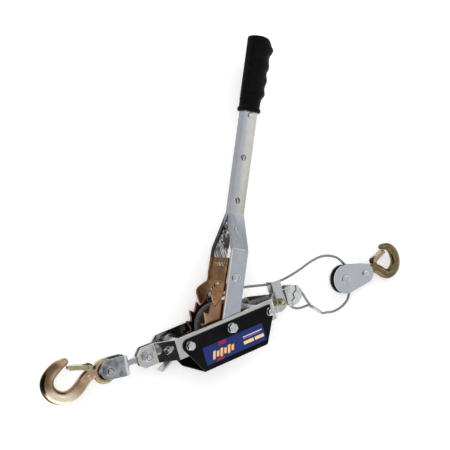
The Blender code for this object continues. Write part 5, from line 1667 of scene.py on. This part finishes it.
TURNED_PARTS = (
    Turned(
        "sheave", "turned_sheave", SHEAVE_PAINT, Body.SHEAVE, Slot.SHEAVE, SHEAVE_SPOT, SHEAVE_OUTLINE,
        BLOCK_LEVEL, True,
    ),
    Turned(
        "sheave_axle", "sheave_rivet", PALE_ZINC, Body.FRAME, Slot.ZINC, SHEAVE_SPOT,
        rivet_outline(0.005, 0.0078, 0.0077, 0.0014), BLOCK_LEVEL,
    ),
    Turned(
        "block_bolt", "block_pin", BOLT_ZINC, Body.FRAME, Slot.BRIGHT, BLOCK_EYE, BLOCK_BOLT_OUTLINE,
        BLOCK_LEVEL,
    ),
    Turned(
        "drive_pawl_pin", "pawl_rivet", BOLT_ZINC, Body.HANDLE, Slot.BRIGHT, on_handle(0.0, 0.0715),
        rivet_outline(0.004, 0.0066, 0.0323, 0.0020, True),
    ),
    Turned(
        "grip_rivet", "handle_rivet", BOLT_ZINC, Body.HANDLE, Slot.BRIGHT, on_handle(0.0005, 0.312),
        rivet_outline(0.0025, 0.0042, 0.0083, 0.0016),
    ),
    Turned(
        "spring_pin", "spring_stud", BOLT_ZINC, Body.HANDLE, Slot.BRIGHT, on_handle(-0.0045, 0.142),
        SPRING_PIN_OUTLINE,
    ),
)


# ---------------------------------------------------------------- hooks


@dataclass
class ForgedHook:
    """A forged hook: a bent bar, its eye, and the lug that carries its latch."""

    name: str
    node: str
    pin_node: str
    body: Body
    finish: Finish
    line: tuple[Spot, ...]
    latch_pin: Pair
    scale: float
    eye_half: float
    middle: Pair
    level: float
    angle: float
    flipped: bool
    eye_ring: float = 0.0124
    eye_section: float = 0.0054
    latch_half: float = 0.0062
    latch_sheet: float = 0.0012
    lug_radius: float = 0.0042
    voxel: float = 0.00055
    smoothings: int = 6
    latch_room: tuple[Pair, Pair] = ((-0.0056, 0.020), (-0.0080, 0.012))  # from the pin, along x and y

    def _bar(self) -> Skin:
        """The bar in the hook's own frame, with rounded sections."""
        line = smooth_line(self.line, 6)
        rings = []
        for i, (x, y, reach) in enumerate(line):
            before, after = line[max(0, i - 1)], line[min(len(line) - 1, i + 1)]
            along = Vector((after[0] - before[0], after[1] - before[1], 0.0)).normalized()
            across = Vector((-along.y, along.x, 0.0))
            depth = min(reach * 0.92, self.eye_half + max(0.0, x - 0.022) * 0.4)
            ring = []
            for spot in circle(1.0, 32):
                ring.append(Vector((x, y, depth * spot.y)) + across * (reach * spot.x))
            rings.append(ring)
        return stacked(rings)

    def _eye(self) -> Skin:
        """The eye: a ring with an oval section."""
        rings = []
        for turn in (2 * math.pi * i / 72 for i in range(72)):
            ring = []
            for spot in circle(1.0, 20):
                radius = (self.eye_ring + self.eye_section * spot.x) * self.scale
                height = self.eye_half * spot.y
                ring.append(Vector((radius * math.cos(turn), radius * math.sin(turn), height)))
            rings.append(ring)
        return stacked(rings, closed=True)

    def _inside(self) -> float:
        """Half the thickness between the latch's sides."""
        return self.latch_half * self.scale + 0.0006 - self.latch_sheet - TOUCH

    def _lug(self) -> Skin:
        """The lug round the latch's pin, and its foot on the bar."""
        x, y = self.latch_pin
        half, size = self._inside(), self.scale
        mesh = bmesh.new()
        reach = self.lug_radius * size
        bmesh.ops.create_cone(mesh, cap_ends=True, segments=32, radius1=reach, radius2=reach, depth=2 * half)
        bmesh.ops.translate(mesh, verts=mesh.verts, vec=(x, y, 0.0))
        corners = ((-0.0041, 0.0), (0.0041, 0.0), (0.0062, -0.0105), (-0.0062, -0.0105))
        foot = [mesh.verts.new((x + cx * size, y + cy * size, -half)) for cx, cy in corners]
        face = mesh.faces.new(foot)
        raise_faces(mesh, [face], 2 * half)
        bmesh.ops.recalc_face_normals(mesh, faces=mesh.faces)
        return mesh

    def _fused(self) -> Skin:
        """The bar, eye and lug as one forged skin."""
        data = bpy.data.meshes.new("forging")
        whole = bmesh.new()
        for part in (self._bar(), self._eye(), self._lug()):
            part.to_mesh(data)
            whole.from_mesh(data)
            part.free()
        whole.to_mesh(data)
        whole.free()
        blank = linked("forging", data)
        step = blank.modifiers.new("fuse", "REMESH")
        step.mode = "VOXEL"
        step.voxel_size = self.voxel
        bpy.context.view_layer.update()
        ready = blank.evaluated_get(bpy.context.evaluated_depsgraph_get())
        mesh = bmesh.new()
        mesh.from_mesh(ready.to_mesh())
        ready.to_mesh_clear()
        bpy.data.objects.remove(blank)
        bpy.data.meshes.remove(data)
        return mesh

    def spot(self, x: float, y: float) -> Pair:
        """A place in the hook's own frame, seen from above the object."""
        turn = Matrix.Rotation(math.radians(self.angle), 3, "Z")
        turned = turn @ Vector((x, -y if self.flipped else y, 0.0))
        return (turned.x + self.middle[0], turned.y + self.middle[1])

    def _fittings(self) -> None:
        """The latch's ringed rivet, and the torsion spring wound round its lug."""
        spot, half = self.spot(*self.latch_pin), self.latch_half * self.scale + 0.0006
        rivet = rivet_outline(0.0016, 0.0028 * self.scale, half + TOUCH, 0.0010, True)
        name = f"{self.pin_node}_rivet"
        Turned(self.pin_node, name, RIVET_STEEL, self.body, Slot.BRIGHT, spot, rivet, self.level).build()
        radius, wire, inside = self.lug_radius * self.scale + 0.0010, 0.0006, self._inside() - 0.0008
        points = []
        turns, per_turn = 5, 28
        for i in range(turns * per_turn + 1):
            angle = 2 * math.pi * i / per_turn
            z = -inside + 2 * inside * i / (turns * per_turn)
            dx, dy = radius * math.cos(angle), radius * math.sin(angle)
            points.append((spot[0] + dx, spot[1] + dy, z + self.level))
        wound = wire_skin(lifted(points), wire)
        place_piece(f"{self.pin_node}_spring", wound, HINGE_STEEL, self.body, (), 60.0)

    def build(self) -> None:
        """Builds the hook in place of its plain solid."""
        self._fittings()
        mesh = self._fused()
        for _ in range(self.smoothings):
            bmesh.ops.smooth_vert(
                mesh, verts=mesh.verts, factor=0.5, use_axis_x=True, use_axis_y=True, use_axis_z=True
            )
        x, y = self.latch_pin
        (x_low, x_high), (y_low, y_high) = self.latch_room
        inside = self._inside()
        for vert in mesh.verts:
            near_x = x + x_low * self.scale < vert.co.x < x + x_high * self.scale
            near_y = y + y_low * self.scale < vert.co.y < y + y_high * self.scale
            if near_x and near_y and abs(vert.co.z) > inside:
                vert.co.z = math.copysign(inside, vert.co.z)
        if self.flipped:
            bmesh.ops.scale(mesh, vec=(1.0, -1.0, 1.0), verts=mesh.verts)
        bmesh.ops.rotate(mesh, verts=mesh.verts, matrix=Matrix.Rotation(math.radians(self.angle), 3, "Z"))
        bmesh.ops.translate(mesh, verts=mesh.verts, vec=(*self.middle, self.level + MID_HEIGHT))
        bmesh.ops.recalc_face_normals(mesh, faces=mesh.faces)
        place_piece(self.name, mesh, self.finish, self.body, (self.node,), 60.0)


FRONT_HOOK = ForgedHook(
    name="front_hook_forging",
    node="front_hook",
    pin_node="front_latch_pin",
    body=Body.FRONT_HOOK,
    finish=FRONT_CHROMATE,
    line=(
        (0.0500, 0.0272, 0.0028),
        (0.0522, 0.0257, 0.0050),
        (0.0575, 0.0233, 0.0064),
        (0.0640, 0.0205, 0.0077),
        (0.0720, 0.0152, 0.0086),
        (0.0795, 0.0078, 0.0091),
        (0.0828, -0.0010, 0.0096),
        (0.0808, -0.0110, 0.0100),
        (0.0735, -0.0195, 0.0102),
        (0.0615, -0.0243, 0.0097),
        (0.0490, -0.0217, 0.0092),
        (0.0385, -0.0145, 0.0090),
        (0.0295, -0.0055, 0.0088),
        (0.0205, 0.0005, 0.0082),
        (0.0125, 0.0000, 0.0060),
    ),
    latch_pin=(0.0212, 0.0100),
    scale=1.0,
    eye_half=0.0062,
    middle=(-0.187110, 0.004147),
    level=0.0,
    angle=170.0,
    flipped=True,
)
REAR_HOOK = ForgedHook(
    name="rear_hook_forging",
    node="rear_hook",
    pin_node="rear_latch_pin",
    body=Body.REAR_HOOK,
    finish=REAR_SHADED_CHROMATE,
    line=(
        (0.0435, 0.0315, 0.0022),
        (0.0460, 0.0307, 0.0040),
        (0.0518, 0.0297, 0.0050),
        (0.0608, 0.0270, 0.0062),
        (0.0668, 0.0203, 0.0072),
        (0.0698, 0.0120, 0.0080),
        (0.0700, 0.0012, 0.0079),
        (0.0670, -0.0065, 0.0082),
        (0.0615, -0.0124, 0.0085),
        (0.0532, -0.0158, 0.0082),
        (0.0460, -0.0148, 0.0082),
        (0.0398, -0.0110, 0.0079),
        (0.0330, -0.0040, 0.0078),
        (0.0240, 0.0010, 0.0072),
        (0.0140, 0.0008, 0.0056),
    ),
    latch_pin=(0.0262, 0.0130),
    scale=0.85,
    eye_half=0.0047,
    middle=(0.2881, -0.0214),
    level=-0.0320,
    angle=-2.7,
    flipped=False,
)


# ---------------------------------------------------------------- grip


@dataclass
class RubberGrip:
    """The rubber grip: a collar, finger bumps on one side, shallow ribs and a rounded end."""

    start: float = 0.318
    radius: float = 0.0162
    middle: float = 0.0012
    swells: tuple[Pair, ...] = (
        (0.0180, 0.0000),
        (0.0300, 0.0057),
        (0.0385, 0.0038),
        (0.0510, 0.0065),
        (0.0605, 0.0042),
        (0.0715, 0.0071),
        (0.0840, 0.0052),
        (0.0990, 0.0108),
        (0.1050, 0.0062),
    )
    collar: tuple[Pair, ...] = (
        (0.0, 0.0160),
        (0.0003, 0.0170),
        (0.0012, 0.0176),
        (0.0042, 0.0176),
        (0.0052, 0.0168),
        (0.0062, 0.0159),
        (0.0085, 0.0157),
        (0.0140, 0.0158),
    )
    ends: tuple[Spot, ...] = (  # along the grip, radius, and how far the finger side stands out
        (0.1050, 0.0164, 0.0062),
        (0.1075, 0.0164, 0.0046),
        (0.1095, 0.0164, 0.0030),
        (0.1112, 0.0161, 0.0018),
        (0.1122, 0.0155, 0.0010),
        (0.1128, 0.0145, 0.0005),
        (0.1131, 0.0128, 0.0002),
        (0.1132, 0.0080, 0.0),
    )
    flattened: float = 0.06  # off the two broad faces
    first_rib: float = 0.0400
    rib_pitch: float = 0.0165
    rib_depth: float = 0.0010
    rib_power: int = 12  # how narrow a rib's groove is
    count: int = 56

    def _ring(self, at: float, radius: float, push: float, rib: float) -> list[Vector]:
        """One ring of the grip in the object's frame.

        Args:
            at: how far along the handle from the grip's start.
            radius: the ring's radius.
            push: how far the finger side stands out.
            rib: how far a rib's groove cuts into the two broad faces.

        Returns:
            The ring's points.
        """
        points = []
        cosine, sine = math.cos(-HANDLE_LEAN), math.sin(-HANDLE_LEAN)
        for i in range(self.count):
            angle = 2 * math.pi * i / self.count
            reach = radius * (1 - self.flattened * math.sin(angle) ** 2) - rib * abs(math.sin(angle)) ** 3
            x = reach * math.cos(angle) + push * max(0.0, math.cos(angle)) ** 2 + self.middle
            y = self.start + at
            z = -reach * math.sin(angle)
            points.append(Vector((x * cosine - y * sine, x * sine + y * cosine, z + MID_HEIGHT)))
        return points

    def build(self) -> None:
        """Builds the grip in place of its plain solid."""
        rings = []
        for at, radius in self.collar:
            rings.append(self._ring(at, radius, 0.0, 0.0))
        for (at, push), (later, swell) in zip(self.swells, self.swells[1:]):
            for k in range(12):
                ease = 0.5 - 0.5 * math.cos(math.pi * k / 12)
                spot = at + (later - at) * k / 12
                wave = max(0.0, math.cos(2 * math.pi * (spot - self.first_rib) / self.rib_pitch))
                rib = self.rib_depth * wave**self.rib_power
                rings.append(self._ring(spot, self.radius, push + (swell - push) * ease, rib))
        for at, radius, push in self.ends:
            rings.append(self._ring(at, radius, push, 0.0))
        mesh = stacked(rings)
        place_piece("rubber_grip", mesh, GRIP_RUBBER, Body.HANDLE, ("handle_grip",), 70.0)


# ---------------------------------------------------------------- label


@dataclass
class GuardLabel:
    """The printed label on the guard's upper face, with plain blocks where the real one has print."""

    left: float = -0.0530
    right: float = 0.0490
    top: float = -0.0110
    bottom: float = -0.0370
    face: float = 0.0378
    thickness: float = 0.00014
    lift: float = 0.00002
    corner: float = 0.0012
    blue: Colour = (0.017, 0.034, 0.175)
    shaded_blue: Colour = (0.012, 0.024, 0.125)
    cream: Colour = (0.92, 0.66, 0.35)
    orange: Colour = (0.90, 0.42, 0.10)
    magenta: Colour = (0.30, 0.02, 0.09)

    def _blocks(self) -> tuple[LabelBlock, ...]:
        """The label's pattern: a dark red band, a row of slanted bars, two thin lines and two blocks."""
        blocks = [
            LabelBlock(self.magenta, (-0.0205, -0.0140), (0.0062, 0.0026), 0.25),
            LabelBlock(self.magenta, (-0.0300, -0.0352), (0.0062, 0.0018), 0.25),
        ]
        for k in range(6):
            height, x = 0.0058 if k % 2 == 0 else 0.0040, -0.0385 + 0.0062 * k
            blocks.append(LabelBlock(self.orange, (x + 0.0008, -0.0268), (0.0021, height), 0.35))
            blocks.append(LabelBlock(self.cream, (x, -0.0262), (0.0012, height - 0.0012), 0.35))
        blocks.append(LabelBlock((0.80, 0.78, 0.80), (0.0295, -0.0195), (0.0165, 0.0006)))
        blocks.append(LabelBlock((0.72, 0.30, 0.34), (0.0275, -0.0218), (0.0145, 0.0003)))
        blocks.append(LabelBlock(self.cream, (0.0205, -0.0282), (0.0085, 0.0024)))
        blocks.append(LabelBlock(self.cream, (0.0390, -0.0282), (0.0078, 0.0024)))
        return tuple(blocks)

    def build(self) -> None:
        """Builds the label as a thin sheet with rounded corners."""
        mesh = flat_sheet(self.right - self.left, self.top - self.bottom)
        bmesh.ops.bevel(
            mesh, geom=mesh.verts, offset=self.corner, affect="VERTICES", segments=4, profile=0.5, material=-1
        )
        raise_faces(mesh, mesh.faces[:], self.thickness)
        level = self.face + self.lift + MID_HEIGHT
        middle = ((self.left + self.right) / 2, (self.top + self.bottom) / 2, level)
        bmesh.ops.translate(mesh, verts=mesh.verts, vec=middle)
        bmesh.ops.recalc_face_normals(mesh, faces=mesh.faces)
        label = PrintedLabel("guard_label_print", self.blue, self.shaded_blue, self._blocks())
        place_piece("guard_label", mesh, label, Body.FRAME)


# ---------------------------------------------------------------- eased CAD pieces


@dataclass(frozen=True)
class EasedPart:
    """A CAD node whose shape is right, and needs only rounded edges and its finish."""

    node: str
    finish: Finish
    body: Body
    slot: Slot
    width: float
    # a paler finish for the rounded edges, which paints a highlight on them
    edge: Finish | None = None
    least: float = 32.0

    def build(self) -> None:
        """Builds the piece in place of its plain solid; its rounded edges can have a finish of their own,
        which paints a highlight on them.
        """
        mesh = eased(merged_copy(self.node), self.width, self.least)
        name = f"{self.node}_eased"
        piece = weighted(place_piece(name, mesh, self.finish, self.body, (self.node,), 50.0))
        piece.data.materials.append((self.edge or self.finish).material(GROUPS))


EASED_PARTS = (
    EasedPart("side_plate_near", PLATE_ZINC, Body.FRAME, Slot.ZINC, 0.0004),
    EasedPart("side_plate_far", PLATE_ZINC, Body.FRAME, Slot.ZINC, 0.0004),
    EasedPart("guard", GUARD_PAINT, Body.FRAME, Slot.PAINT, 0.0003),
    EasedPart("front_spacer", PALE_ZINC, Body.FRAME, Slot.BRIGHT, 0.0003),
    EasedPart("rear_spacer", PALE_ZINC, Body.FRAME, Slot.BRIGHT, 0.0003),
    EasedPart("rope_guide", PALE_ZINC, Body.FRAME, Slot.ZINC, 0.0003),
    EasedPart("rope_anchor", ANCHOR_ZINC, Body.FRAME, Slot.ZINC, 0.0003),
    EasedPart("block_cheek_near", PALE_ZINC, Body.FRAME, Slot.ZINC, 0.0003),
    EasedPart("block_cheek_far", PALE_ZINC, Body.FRAME, Slot.ZINC, 0.0003),
    EasedPart("ratchet_wheel_near", NEAR_WHEEL, Body.DRUM, Slot.STAMPED, 0.0004, WHEEL_EDGE_HIGHLIGHT),
    EasedPart("ratchet_wheel_far", FAR_WHEEL_SHADED, Body.DRUM, Slot.STAMPED, 0.0004, WHEEL_EDGE_HIGHLIGHT),
    EasedPart("drum_core", CORE_PAINT, Body.DRUM, Slot.CORE, 0.0003),
    EasedPart("drive_pawl", PAWL_CHROMATE, Body.DRIVE_PAWL, Slot.STAMPED, 0.0005, PAWL_EDGE_HIGHLIGHT),
    EasedPart("holding_pawl", TAB_ZINC, Body.HOLDING_PAWL, Slot.ZINC, 0.0004),
    EasedPart("swivel_rod", ROD_ZINC, Body.SWIVEL, Slot.ZINC, 0.0004),
    EasedPart("swivel_nut", BOLT_ZINC, Body.SWIVEL, Slot.BRIGHT, 0.0003),
    EasedPart("hook_clevis", CLEVIS_ZINC, Body.CLEVIS, Slot.ZINC, 0.0006, CLEVIS_EDGE_HIGHLIGHT),
    EasedPart("front_latch", LATCH_CHROMATE, Body.FRONT_LATCH, Slot.YELLOW, 0.0003),
    EasedPart("rear_latch", REAR_LATCH_CHROMATE, Body.REAR_LATCH, Slot.YELLOW, 0.0003),
)


@dataclass
class BentHandle:
    """The forked handle, pressed from one sheet: round bends along its back, and cut edges elsewhere."""

    node: str = "handle_lever"
    finish: Finish = HANDLE_ZINC
    bend: float = 0.0026
    width: float = 0.0005
    back: float = -0.0095
    start: float = 0.100
    levels: tuple[Pair, Pair] = ((0.112, 0.032), (0.165, 0.008))
    within: float = 0.0008  # how close a bend lies to a flange's outside
    least_bend: float = 0.006  # a bend's least length

    def _outer(self, along: float) -> float:
        """How far the outside of a flange stands from the middle plane, at a distance along the handle."""
        (low, wide), (high, narrow) = self.levels
        share = min(1.0, max(0.0, (along - low) / (high - low)))
        return wide + (narrow - wide) * share

    def _bent(self, edge: bmesh.types.BMEdge) -> bool:
        """Whether an edge is one of the bends: a long one between the back and the outside of a flange."""
        across, along = Vector(HANDLE_ZINC.across), Vector(HANDLE_ZINC.along)
        for vert in edge.verts:
            if vert.co.dot(across) > self.back or vert.co.dot(along) < self.start:
                return False
            if abs(abs(vert.co.z - MID_HEIGHT) - self._outer(vert.co.dot(along))) > self.within:
                return False
        return edge.calc_length() > self.least_bend and len(edge.link_faces) == 2

    def build(self) -> None:
        """Builds the handle in place of its plain solid."""
        mesh = merged_copy(self.node)
        bends = [edge for edge in mesh.edges if self._bent(edge)]
        LOG.info("%s: %d bends", self.node, len(bends))
        rounded(mesh, bends, self.bend, 6)
        eased(mesh, self.width)
        name = f"{self.node}_bent"
        piece = weighted(place_piece(name, mesh, self.finish, Body.HANDLE, (self.node,), 50.0))
        piece.data.materials.append(self.finish.material(GROUPS))


@dataclass
class PawlSpring:
    """The drive pawl's coil spring inside the handle, from its pin towards the pawl."""

    pin: Pair = (-0.0045, 0.142)
    radius: float = 0.0030
    wire: float = 0.0012
    pitch: float = 0.0021
    curls: int = 10
    tail: float = 0.0025

    def _line(self) -> list[Vector]:
        """The wire's centre line in the object's frame."""
        start = self.pin[1] - 0.0068
        local = [(self.pin[0], start + self.tail, self.radius)]
        per_curl = 24
        for i in range(self.curls * per_curl + 1):
            angle = 2 * math.pi * i / per_curl
            x = self.pin[0] + self.radius * math.sin(angle)
            local.append((x, start - self.pitch * i / per_curl, self.radius * math.cos(angle)))
        x, y, z = local[-1]
        local.append((x, y - self.tail, z))
        turn = Matrix.Rotation(-HANDLE_LEAN, 3, "Z")
        return lifted(tuple(turn @ Vector(point)) for point in local)

    def build(self) -> None:
        """Builds the spring in place of its plain tube."""
        mesh = wire_skin(self._line(), self.wire / 2)
        place_piece("pawl_spring", mesh, SPRING_STEEL, Body.HANDLE, ("drive_pawl_spring",), 60.0)


def main() -> None:
    """Builds the camera, the rope, every piece and the studio, in that order."""
    logging.basicConfig(level=logging.INFO, format="%(name)s %(message)s")
    Viewpoint().build()
    RopeRun().build()
    DrumWinding().build()
    for hook in (FRONT_HOOK, REAR_HOOK):
        hook.build()
    RubberGrip().build()
    GuardLabel().build()
    BentHandle().build()
    PawlSpring().build()
    for part in (*FASTENERS, *TURNED_PARTS, *EASED_PARTS):
        part.build()
    Studio().build()


if __name__ == "__main__":
    main()
